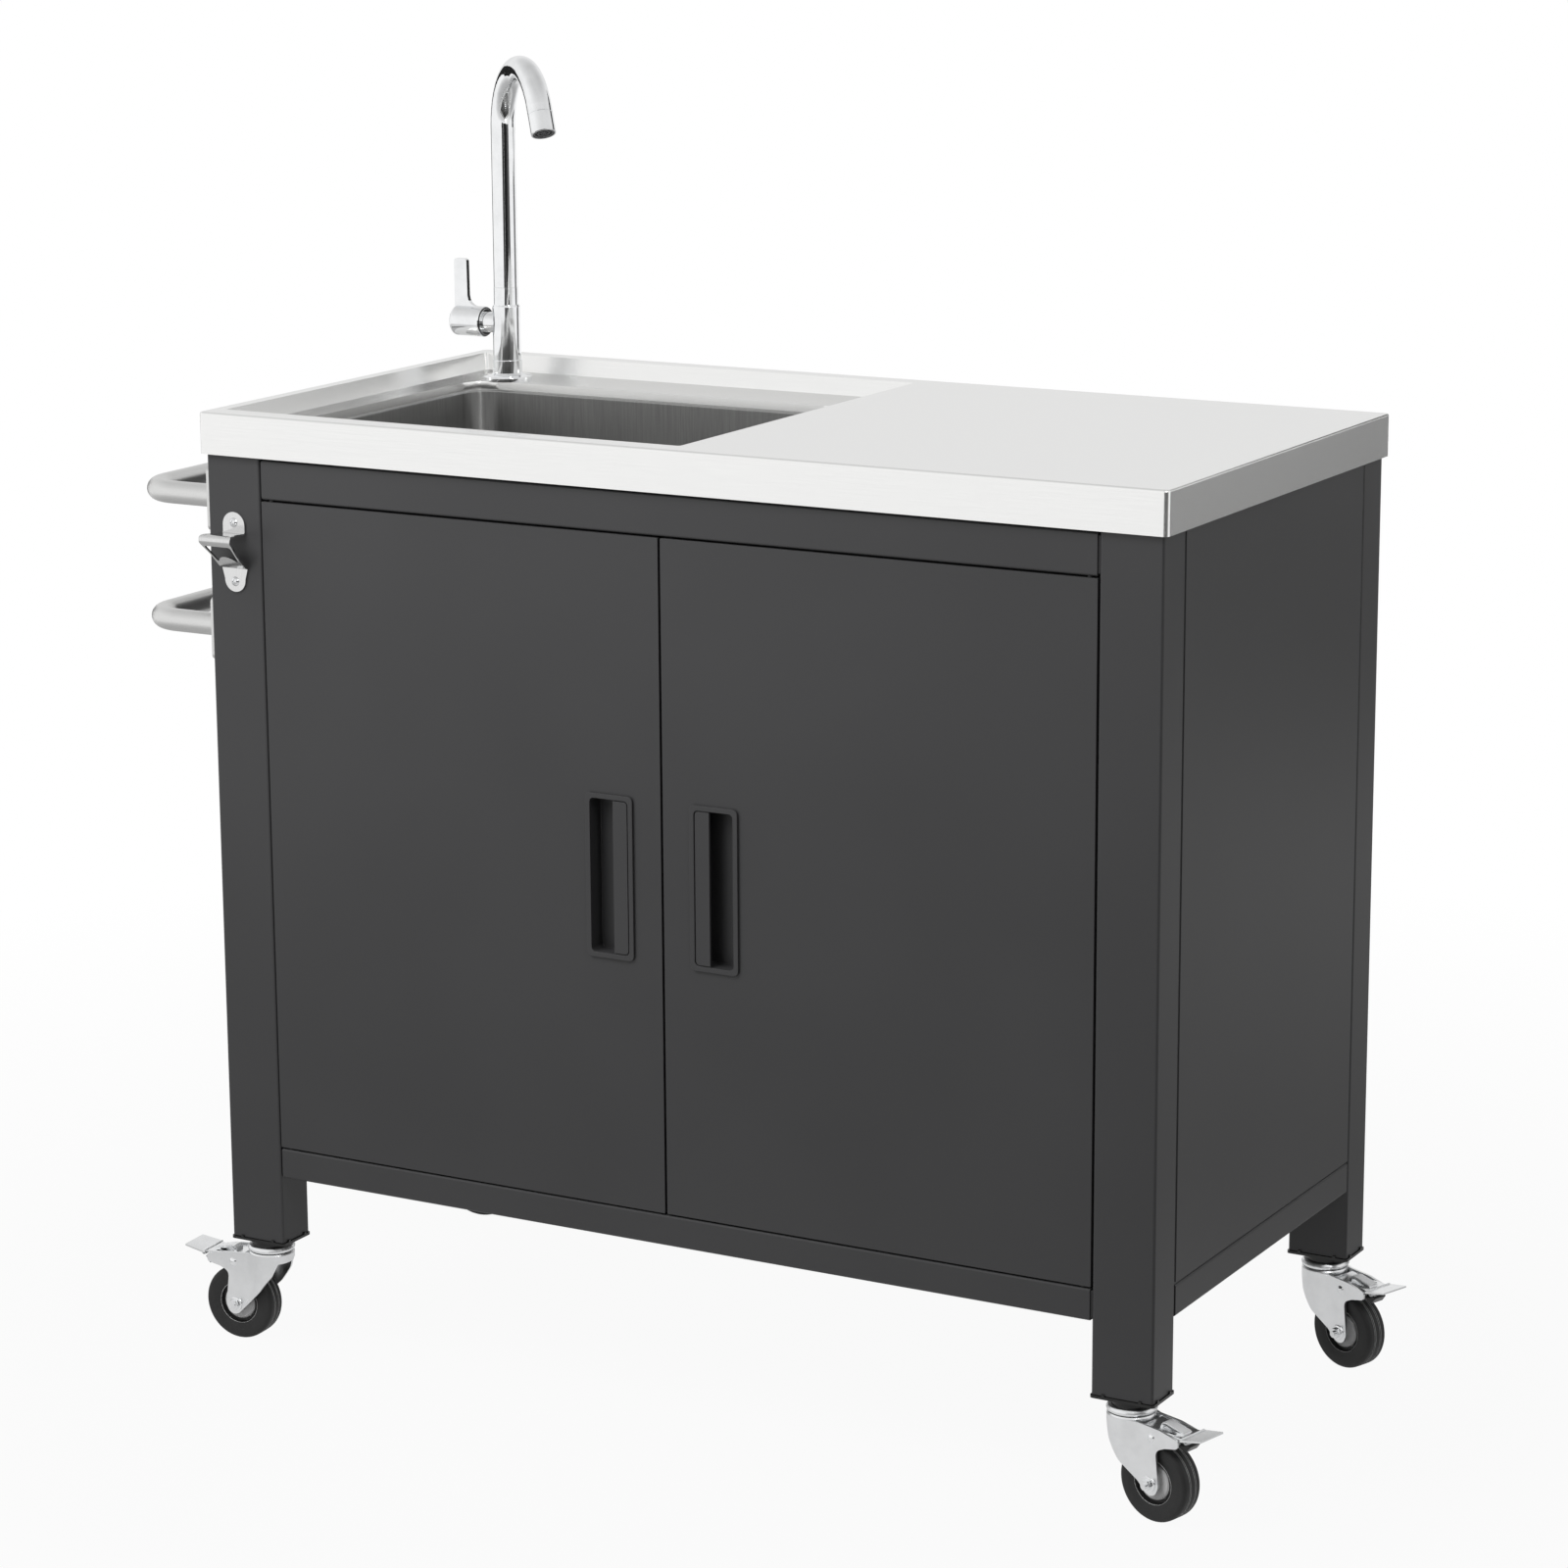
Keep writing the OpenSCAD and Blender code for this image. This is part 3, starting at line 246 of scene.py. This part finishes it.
# Nodes whose finish isn't their slot's usual one.
SPECIAL = {"bowl": SHADED_BOWL, "towel_bar_upper": BAR, "towel_bar_lower": BAR,
           "bottle_opener": POLISHED, "bar_screws": POLISHED, "door_pivots": PIVOT_SHADE_BLACK}
SPECIAL.update({part + name: BRIGHT_ZINC for part in ("pedal_", "pins_") for name in CASTERS})


def finish_of(node):
    return SPECIAL.get(node, FINISHES[SLOT[node]])


for node in nodes:
    slots = nodes[node].data.materials
    slots.clear()
    slots.append(finish_of(node))


# ---- Making pieces ---------------------------------------------------------

def settle(bm, name, finish, body, fold=32):
    """Makes a piece of a mesh: shaded smooth, except where it folds by more than this."""
    for face in bm.faces:
        face.smooth = True
    for edge in bm.edges:
        edge.smooth = edge.calc_face_angle(math.pi) < math.radians(fold)
    mesh = bpy.data.meshes.new(name)
    bm.to_mesh(mesh)
    bm.free()
    mesh.materials.append(finish)
    made = bpy.data.objects.new(name, mesh)
    scene.collection.objects.link(made)
    # Large faces keep their own normal, so that flat sheet stays flat beside its small radii.
    weigh = made.modifiers.new("flat_faces", "WEIGHTED_NORMAL")
    weigh.keep_sharp = True
    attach(made, body)
    return made


def refined(node, edge_mm=0.0, fold=32, reshape=None):
    """A merged copy of a CAD node, shaded smooth, and reshaped or with its sharp edges eased
    where asked."""
    bm = bmesh.new()
    bm.from_mesh(nodes[node].data)
    bmesh.ops.remove_doubles(bm, verts=bm.verts, dist=2e-6)
    if reshape:
        reshape(bm)
    if edge_mm:
        bmesh.ops.dissolve_limit(bm, angle_limit=math.radians(0.5), verts=bm.verts, edges=bm.edges)
        sharp = [e for e in bm.edges if e.is_manifold and e.calc_face_angle(0) > math.radians(50)]
        bmesh.ops.bevel(bm, geom=sharp, offset=edge_mm / 1000, segments=3, profile=0.5,
                        affect="EDGES", material=-1, clamp_overlap=True)
    made = settle(bm, node + "_finished", finish_of(node), BODY[node], fold)
    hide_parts(node)


def spread_out(bm, ring, out_mm):
    """Moves a level ring of corners outwards by this much, about its own middle."""
    low = Vector([min(v.co[i] for v in ring) for i in range(3)])
    high = Vector([max(v.co[i] for v in ring) for i in range(3)])
    middle, half = (low + high) / 2, (high - low) / 2
    grow = [1 + out_mm / 1000 / half.x, 1 + out_mm / 1000 / half.y, 1]
    bmesh.ops.scale(bm, vec=grow, space=Matrix.Translation(-middle), verts=ring)


def draw_well(bm):
    """Gives the pressed well its draft: the walls lean back, and the drop round the bowl is
    upright."""
    low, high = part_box("worktop")
    middle = (low.x + high.x) / 2
    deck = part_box("faucet_body")[0].z
    # The well lies inside a margin of flat sheet, and ends a little right of the middle.
    margin, right_edge, sheet, under_deck = 0.012, 0.0095, 0.0025, 0.005
    lean_mm, drop_mm = 3.0, 1.8
    inside = [v for v in bm.verts if low.x + margin < v.co.x < middle + right_edge
              and low.y + margin < v.co.y < high.y - margin]
    spread_out(bm, [v for v in inside if v.co.z > high.z - sheet], lean_mm)
    spread_out(bm, [v for v in inside if v.co.z < deck - under_deck], drop_mm)


def turned(outline, steps=64):
    """A ring or disc: an outline of (radius, height) points in mm, spun about Z."""
    bm = bmesh.new()
    points = [bm.verts.new((r / 1000, 0, z / 1000)) for r, z in outline]
    edges = [bm.edges.new(pair) for pair in zip(points, points[1:])]
    bmesh.ops.spin(bm, geom=points + edges, cent=(0, 0, 0), axis=(0, 0, 1), angle=2 * math.pi,
                   steps=steps, use_merge=True, use_duplicate=False)
    bmesh.ops.remove_doubles(bm, verts=bm.verts, dist=1e-6)
    bmesh.ops.recalc_face_normals(bm, faces=bm.faces)
    return bm


def join(bm, other):
    """Adds another bmesh's shape to this one, and frees the other."""
    part = bpy.data.meshes.new("part")
    other.to_mesh(part)
    other.free()
    bm.from_mesh(part)
    bpy.data.meshes.remove(part)


def joint_place(name):
    """Where a joint's axis passes, in metres."""
    return Vector(JOINT[name]["pos_m"])


def caster_place(name):
    """The matrix from a caster's own frame, u back from its swivel, to the model's."""
    axis = JOINT["wheel_spin_" + name]["axis"]
    swivel = joint_place("caster_swivel_" + name)
    return (Matrix.Translation((swivel.x, swivel.y, 0))
            @ Matrix.Rotation(math.atan2(-axis[0], axis[1]), 4, "Z"))


# ---- Shapes that curve or shine --------------------------------------------

for node in ("spout", "aerator", "faucet_body", "lever_seal", "drain_strainer",
             "towel_bar_upper", "towel_bar_lower", "bar_screws", "opener_screws", "bowl",
             "bottle_opener", "leg_caps", "caster_stems"):
    refined(node)
refined("worktop", reshape=draw_well)

# Pressed forks, tube and folded sheet have edges of about half a millimetre radius, which
# catch the light. The lever's are rounder.
for name in CASTERS:
    for part in ("tyre", "hub", "pins", "pedal"):
        refined(part + "_" + name)
    refined("fork_" + name, edge_mm=0.4)
refined("lever", edge_mm=1.0)
for node in ("leg_front_left", "leg_front_right", "leg_rear_left", "leg_rear_right",
             "rail_front_top", "rail_front_bottom", "rail_rear_top", "rail_rear_bottom",
             "side_rail_left", "side_rail_right", "side_panel_left", "side_panel_right",
             "back_panel", "door_left", "door_right", "pull_left", "pull_right"):
    refined(node, edge_mm=0.5)


# ---- Small pieces of the casters -------------------------------------------

def brake_pad(name):
    """A black block on the pedal's shoe, above the tyre."""
    length, width, height = 0.0105, 0.0156, 0.0085
    narrowed, widened = 0.8, 1.12
    round_off, tilt, place = 0.0009, math.radians(32), (0.0655, 0, 0.0782)
    bm = bmesh.new()
    bmesh.ops.create_cube(bm, size=1)
    bmesh.ops.scale(bm, vec=(length, width, height), verts=bm.verts)
    sole = [v for v in bm.verts if v.co.z < 0]
    bmesh.ops.scale(bm, vec=(narrowed, widened, 1), verts=sole)
    bmesh.ops.bevel(bm, geom=bm.edges[:], offset=round_off, segments=3, profile=0.5,
                    affect="EDGES", material=-1, clamp_overlap=True)
    bmesh.ops.rotate(bm, cent=(0, 0, 0), matrix=Matrix.Rotation(tilt, 3, "Y"), verts=bm.verts)
    bmesh.ops.translate(bm, vec=place, verts=bm.verts)
    bmesh.ops.transform(bm, matrix=caster_place(name), verts=bm.verts)
    settle(bm, "brake_pad_" + name, PLASTIC, "brake_" + name)


def folded_strip(outline, half_width, ease):
    """A bent strip of sheet: its side outline as (u, height), made twice the half width wide,
    with its edges eased. All three are in millimetres."""
    bm = bmesh.new()
    side = bm.faces.new([bm.verts.new((u / 1000, -half_width / 1000, z / 1000)) for u, z in outline])
    far = bmesh.ops.extrude_face_region(bm, geom=[side])["geom"]
    bmesh.ops.translate(bm, vec=(0, 2 * half_width / 1000, 0),
                        verts=[v for v in far if isinstance(v, bmesh.types.BMVert)])
    bmesh.ops.recalc_face_normals(bm, faces=bm.faces)
    bmesh.ops.bevel(bm, geom=bm.edges[:], offset=ease / 1000, segments=2, profile=0.5,
                    affect="EDGES", material=-1, clamp_overlap=True)
    return bm


def pedal_tongue(name):
    """The bright spring tongue on the pedal, bent up into a loop at its front."""
    outline = [(36.6, 88.3), (37.6, 91.6), (39.6, 93.6), (43.2, 93.9), (62.5, 89.3),
               (62.3, 88.1), (43, 92.6), (40.2, 92.3), (38.9, 91), (38, 88.1)]
    bm = folded_strip(outline, half_width=5.4, ease=0.25)
    bmesh.ops.transform(bm, matrix=caster_place(name), verts=bm.verts)
    settle(bm, "pedal_tongue_" + name, PALE_ZINC, "brake_" + name)


def pedal_roll(name):
    """The tubular roll at the end of the pedal's channel, and the bright fold above it."""
    bore, ease, roll, roll_half, fold, fold_half = 1.3, 0.3, 2.4, 13.2, 1.1, 17.2
    # Both are spun about Z and placed at (-height, u), and a turn lays them across the pedal.
    roll_place, fold_place = (-0.0846, 0.0705, 0), (-0.0874, 0.0678, 0)
    bm = turned([(bore, -roll_half), (roll - ease, -roll_half), (roll, ease - roll_half),
                 (roll, roll_half - ease), (roll - ease, roll_half), (bore, roll_half),
                 (bore, -roll_half)], steps=32)
    bmesh.ops.translate(bm, vec=roll_place, verts=bm.verts)
    bar = turned([(0, -fold_half), (fold - ease, -fold_half), (fold, ease - fold_half),
                  (fold, fold_half - ease), (fold - ease, fold_half), (0, fold_half)], steps=24)
    bmesh.ops.translate(bar, vec=fold_place, verts=bar.verts)
    join(bm, bar)
    bmesh.ops.rotate(bm, cent=(0, 0, 0), matrix=Matrix(((0, 1, 0), (0, 0, 1), (-1, 0, 0))),
                     verts=bm.verts)
    bmesh.ops.recalc_face_normals(bm, faces=bm.faces)
    bmesh.ops.transform(bm, matrix=caster_place(name), verts=bm.verts)
    settle(bm, "pedal_roll_" + name, PALE_ZINC, "brake_" + name)


def tread_ribs(name):
    """Fine flash lines beside the tyre's grooves and round its hub, coloured paler than the tread as
    a painted highlight.
    """
    wheel = joint_place("wheel_spin_" + name)
    axis = Vector(JOINT["wheel_spin_" + name]["axis"])
    tread, wall, groove_inner, groove_outer, side = 37.1, 20.9, 2.8, 4.4, 10.75
    deep, foot, crest = 0.3, 0.25, 0.2
    lines = bmesh.new()
    for radius, along in ((tread, -groove_outer), (tread, -groove_inner), (tread, groove_inner),
                          (tread, groove_outer), (wall, -side), (wall, side)):
        join(lines, turned([(radius - deep, along - foot), (radius, along - crest),
                            (radius, along + crest), (radius - deep, along + foot),
                            (radius - deep, along - foot)], steps=96))
    turn = axis.to_track_quat("Z", "Y").to_matrix().to_4x4()
    bmesh.ops.transform(lines, matrix=Matrix.Translation(wheel) @ turn, verts=lines.verts)
    settle(lines, "tread_lines_" + name, RIB_HIGHLIGHT, "wheel_" + name, fold=60)


for name in CASTERS:
    brake_pad(name)
    pedal_tongue(name)
    pedal_roll(name)
    tread_ribs(name)


# ---- Small pieces of the faucet and the doors ------------------------------

def aerator_insert():
    """The ringed plastic nozzle plate in the mouth of the spout: its outline is measured
    along the spout's axis from the end of the bend."""
    swivel = joint_place("spout_swivel")
    bend, radius, neck, turn = math.radians(152), 0.063, 0.159, math.radians(-40)
    mouth = (Matrix.Translation(swivel) @ Matrix.Rotation(turn, 4, "Z")
             @ Matrix.Translation((radius * (1 - math.cos(bend)), 0, neck + radius * math.sin(bend)))
             @ Matrix.Rotation(bend, 4, "Y"))
    bm = turned([(0, 27.6), (1.6, 27.6), (1.8, 28.2), (3.0, 28.2), (3.3, 27.2), (4.6, 27.2),
                 (4.9, 28.2), (6.4, 28.2), (6.7, 27.2), (8.0, 27.2), (8.3, 28.3), (10.4, 28.3),
                 (10.7, 27.0), (0, 26.9)])
    bmesh.ops.transform(bm, matrix=mouth, verts=bm.verts)
    settle(bm, "aerator_insert", INSERT, "spout_body", fold=25)


def barrel_end():
    """The chrome end of the lever's barrel, inside the black ring of its seal."""
    low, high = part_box("lever_seal")
    middle = (low + high) / 2
    bore, rim, eased_rim, thick = 10.6, 13.3, 13.0, 0.25
    sunk = 0.00005
    bm = turned([(bore, 0), (bore, thick), (eased_rim, thick), (rim, 0), (bore, 0)])
    bmesh.ops.rotate(bm, cent=(0, 0, 0), matrix=Matrix.Rotation(math.radians(90), 3, "Y"),
                     verts=bm.verts)
    bmesh.ops.translate(bm, vec=(high.x - sunk, middle.y, middle.z), verts=bm.verts)
    settle(bm, "barrel_end", CHROME, "cabinet")


def shank_thread():
    """The ridges of the faucet's pipe thread, below its nut, in millimetres."""
    low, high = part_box("faucet_shank")
    middle = (low + high) / 2
    pitch, core, root, crest, nut_room = 1.8, 10.3, 10.35, 10.62, 13
    crest_start, crest_end = 0.75, 1.05
    top = (high.z - low.z) * 1000 - nut_room
    bottom, ridge = 1, 1.5
    outline = [(core, bottom)]
    while ridge < top:
        outline += [(root, ridge), (crest, ridge + crest_start), (crest, ridge + crest_end)]
        ridge += pitch
    outline.append((core, ridge))
    bm = turned(outline, steps=48)
    bmesh.ops.translate(bm, vec=(middle.x, middle.y, low.z), verts=bm.verts)
    settle(bm, "shank_thread", ZINC, "cabinet")


def strike_plate(side, body):
    """The steel plate inside a door's top corner, which the magnetic catch holds."""
    low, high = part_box("door_catches")
    half_catch, size, ease, sunk, down = 0.021, (0.038, 0.0008, 0.012), 0.0002, 0.0001, 0.008
    catch = low.x + half_catch if side < 0 else high.x - half_catch
    bm = bmesh.new()
    bmesh.ops.create_cube(bm, size=1)
    bmesh.ops.scale(bm, vec=size, verts=bm.verts)
    bmesh.ops.bevel(bm, geom=bm.edges[:], offset=ease, segments=2, profile=0.5,
                    affect="EDGES", material=-1, clamp_overlap=True)
    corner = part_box("door_left" if side < 0 else "door_right")[1]
    bmesh.ops.translate(bm, vec=(catch, corner.y - sunk, corner.z - down), verts=bm.verts)
    settle(bm, "strike_plate_" + ("left" if side < 0 else "right"), ZINC, body)


aerator_insert()
barrel_end()
shank_thread()
strike_plate(-1, "door_l")
strike_plate(1, "door_r")


# ---- Floor, light and camera -----------------------------------------------

def floor():
    """A white floor. The camera sees a soft shadow near the object and plain white beyond, and
    reflections see a painted reflection tone: a white glow whose share changes with the distance."""
    radius, ramp_length, white_from, white_at = 14, 4.0, 0.7, 2.0
    made = bpy.data.materials.new("studio_paper")
    made.use_nodes = True
    tree = made.node_tree
    tree.nodes.clear()
    spot = add(tree, "TexCoord").outputs["Object"]
    away = add(tree, "VectorMath", {"operation": "LENGTH"}, _0=spot).outputs["Value"]
    path = add(tree, "LightPath")
    seen = add(tree, "MapRange", Value=away, From_Min=white_from, From_Max=white_at,
               To_Min=0.945, To_Max=1.0)
    seen = add(tree, "Math", {"operation": "MULTIPLY"}, _0=seen.outputs["Result"],
               _1=path.outputs["Is Camera Ray"]).outputs[0]
    reach = add(tree, "Math", {"operation": "MULTIPLY"}, _0=away, _1=1 / ramp_length).outputs[0]
    # Painted reflection: to glossy rays the floor glows white by a share set by its distance, least
    # at about a metre, full beyond about 3.3 m.
    mirrored = ramp(tree, reach, [(0.15, "#d0d0d0"), (0.26, "#8c8c8c"), (0.42, "#a4a4a4"),
                                  (0.82, "#ffffff")])
    mirrored = add(tree, "Math", {"operation": "MULTIPLY"}, _0=mirrored,
                   _1=path.outputs["Is Glossy Ray"]).outputs[0]
    share = add(tree, "Math", {"operation": "MAXIMUM"}, _0=seen, _1=mirrored).outputs[0]
    paper = add(tree, "BsdfDiffuse", Color=colour("#8e8e8e"))
    white = add(tree, "Emission", Color=(1, 1, 1, 1), Strength=1.0)
    both = add(tree, "MixShader", Fac=share, _1=paper.outputs[0], _2=white.outputs[0])
    add(tree, "OutputMaterial", Surface=both.outputs[0])
    bm = bmesh.new()
    bmesh.ops.create_circle(bm, cap_ends=True, segments=96, radius=radius)
    mesh = bpy.data.meshes.new("studio_floor")
    bm.to_mesh(mesh)
    bm.free()
    sweep = bpy.data.objects.new("studio_floor", mesh)
    sweep.data.materials.append(made)
    scene.collection.objects.link(sweep)


def world():
    """White to the camera, a softer white as light, and in reflections a white that is a
    little greyer behind the object and overhead."""
    made = bpy.data.worlds.new("studio_world")
    made.use_nodes = True
    tree = made.node_tree
    tree.nodes.clear()
    path = add(tree, "LightPath")
    seen = add(tree, "Math", {"operation": "MAXIMUM"}, _0=path.outputs["Is Camera Ray"],
               _1=path.outputs["Is Transmission Ray"]).outputs[0]
    seen = add(tree, "Math", {"operation": "MAXIMUM"}, _0=seen,
               _1=path.outputs["Is Glossy Ray"]).outputs[0]
    level = add(tree, "MapRange", Value=seen, To_Min=0.4, To_Max=1.0).outputs["Result"]
    way = add(tree, "SeparateXYZ", Vector=add(tree, "TexCoord").outputs["Generated"])
    behind = add(tree, "MapRange", Value=way.outputs["Y"], From_Min=-0.2, From_Max=0.7,
                 To_Max=0.16).outputs["Result"]
    above = add(tree, "MapRange", Value=way.outputs["Z"], From_Min=0.4, From_Max=0.9,
                To_Max=0.3).outputs["Result"]
    dimmed = add(tree, "Math", {"operation": "ADD"}, _0=behind, _1=above).outputs[0]
    dimmed = add(tree, "Math", {"operation": "MULTIPLY"}, _0=dimmed,
                 _1=path.outputs["Is Glossy Ray"]).outputs[0]
    level = add(tree, "Math", {"operation": "SUBTRACT"}, _0=level, _1=dimmed).outputs[0]
    back = add(tree, "Background", Color=(1, 1, 1, 1), Strength=level)
    add(tree, "OutputWorld", Surface=back.outputs["Background"])
    scene.world = made


def flag(name, bearing, spread, distance, low, high, code):
    """A dark or grey card, out of view, that chrome and steel reflect as a streak. Its bearing
    and its spread are in degrees round the object, and its other measures in metres."""
    made = material(name + "_felt", Roughness=0.9, Base_Color=colour(code))[0]
    bm = bmesh.new()
    bmesh.ops.create_grid(bm, x_segments=1, y_segments=1, size=0.5)
    wide = 2 * distance * math.tan(math.radians(spread / 2))
    bmesh.ops.scale(bm, vec=(wide, high - low, 1), verts=bm.verts)
    mesh = bpy.data.meshes.new(name)
    bm.to_mesh(mesh)
    bm.free()
    card = bpy.data.objects.new(name, mesh)
    turn = math.radians(bearing)
    at = Vector((math.cos(turn) * distance, math.sin(turn) * distance, (low + high) / 2))
    card.matrix_world = (Matrix.Translation(at) @ Matrix.Rotation(turn + math.pi / 2, 4, "Z")
                         @ Matrix.Rotation(math.pi / 2, 4, "X"))
    mesh.materials.append(made)
    card.visible_camera = False
    card.visible_shadow = False
    scene.collection.objects.link(card)


def softbox(name, size, at, towards, power, mirrored=False):
    """A rectangular lamp of this size in metres and power in watts. Reflections show it only
    where it is to be mirrored."""
    lamp = bpy.data.lights.new(name, "AREA")
    lamp.shape = "RECTANGLE"
    lamp.size, lamp.size_y = size
    lamp.energy = power
    made = bpy.data.objects.new(name, lamp)
    made.matrix_world = Matrix.Translation(at) @ (
        Vector(towards) - Vector(at)).to_track_quat("-Z", "Y").to_matrix().to_4x4()
    made.visible_glossy = mirrored
    scene.collection.objects.link(made)


def camera():
    """A long lens, from the front right and a little above the worktop."""
    place = (2.0719, -3.6795, 1.544)
    heading, tilt_down, roll = 29.15, 13.01, -0.31
    made = bpy.data.cameras.new("camera")
    made.lens = 104.36
    made.sensor_width = 36
    made.clip_end = 100
    eye = bpy.data.objects.new("camera", made)
    turn = (Matrix.Rotation(math.radians(heading), 4, "Z")
            @ Matrix.Rotation(math.radians(90 - tilt_down), 4, "X")
            @ Matrix.Rotation(math.radians(roll), 4, "Z"))
    eye.matrix_world = Matrix.Translation(place) @ turn
    scene.collection.objects.link(eye)
    scene.camera = eye


floor()
world()
flag("flag_right", -43, 30, 3.4, 0.0, 1.4, "#1c1c1c")
flag("flag_right_grey", -16, 24, 3.4, 0.0, 1.4, "#7c7c7c")
flag("flag_side", 63, 8, 3.2, 0.1, 1.2, "#202020")
flag("flag_side_grey", 50, 16, 3.25, 0.3, 0.8, "#b0b0b0")
flag("flag_side_high", 72, 20, 3.3, 1.15, 2.5, "#404040")
flag("flag_side_low", 60, 34, 3.1, 0.0, 0.3, "#646464")
flag("flag_left_grey", -68, 18, 3.4, 0.0, 1.4, "#5c5c5c")
flag("flag_rear", 156, 14, 3.2, 0.0, 1.4, "#202020")
WORKTOP_MIDDLE = (0, 0, 0.9)
BOWL_CORNER = (-0.45, 0.1, 0.85)
softbox("key", (1.6, 1.2), (-0.75, -1.45, 2.15), WORKTOP_MIDDLE, power=47)
softbox("top", (2.4, 1.6), (0.0, 0.6, 3.2), WORKTOP_MIDDLE, power=12)
# A narrow upright strip that draws the bright streak in the bowl's rear corner.
softbox("strip", (0.16, 1.5), (1.8, -1.25, 2.6), BOWL_CORNER, power=10, mirrored=True)
camera()
scene.view_settings.view_transform = "Standard"
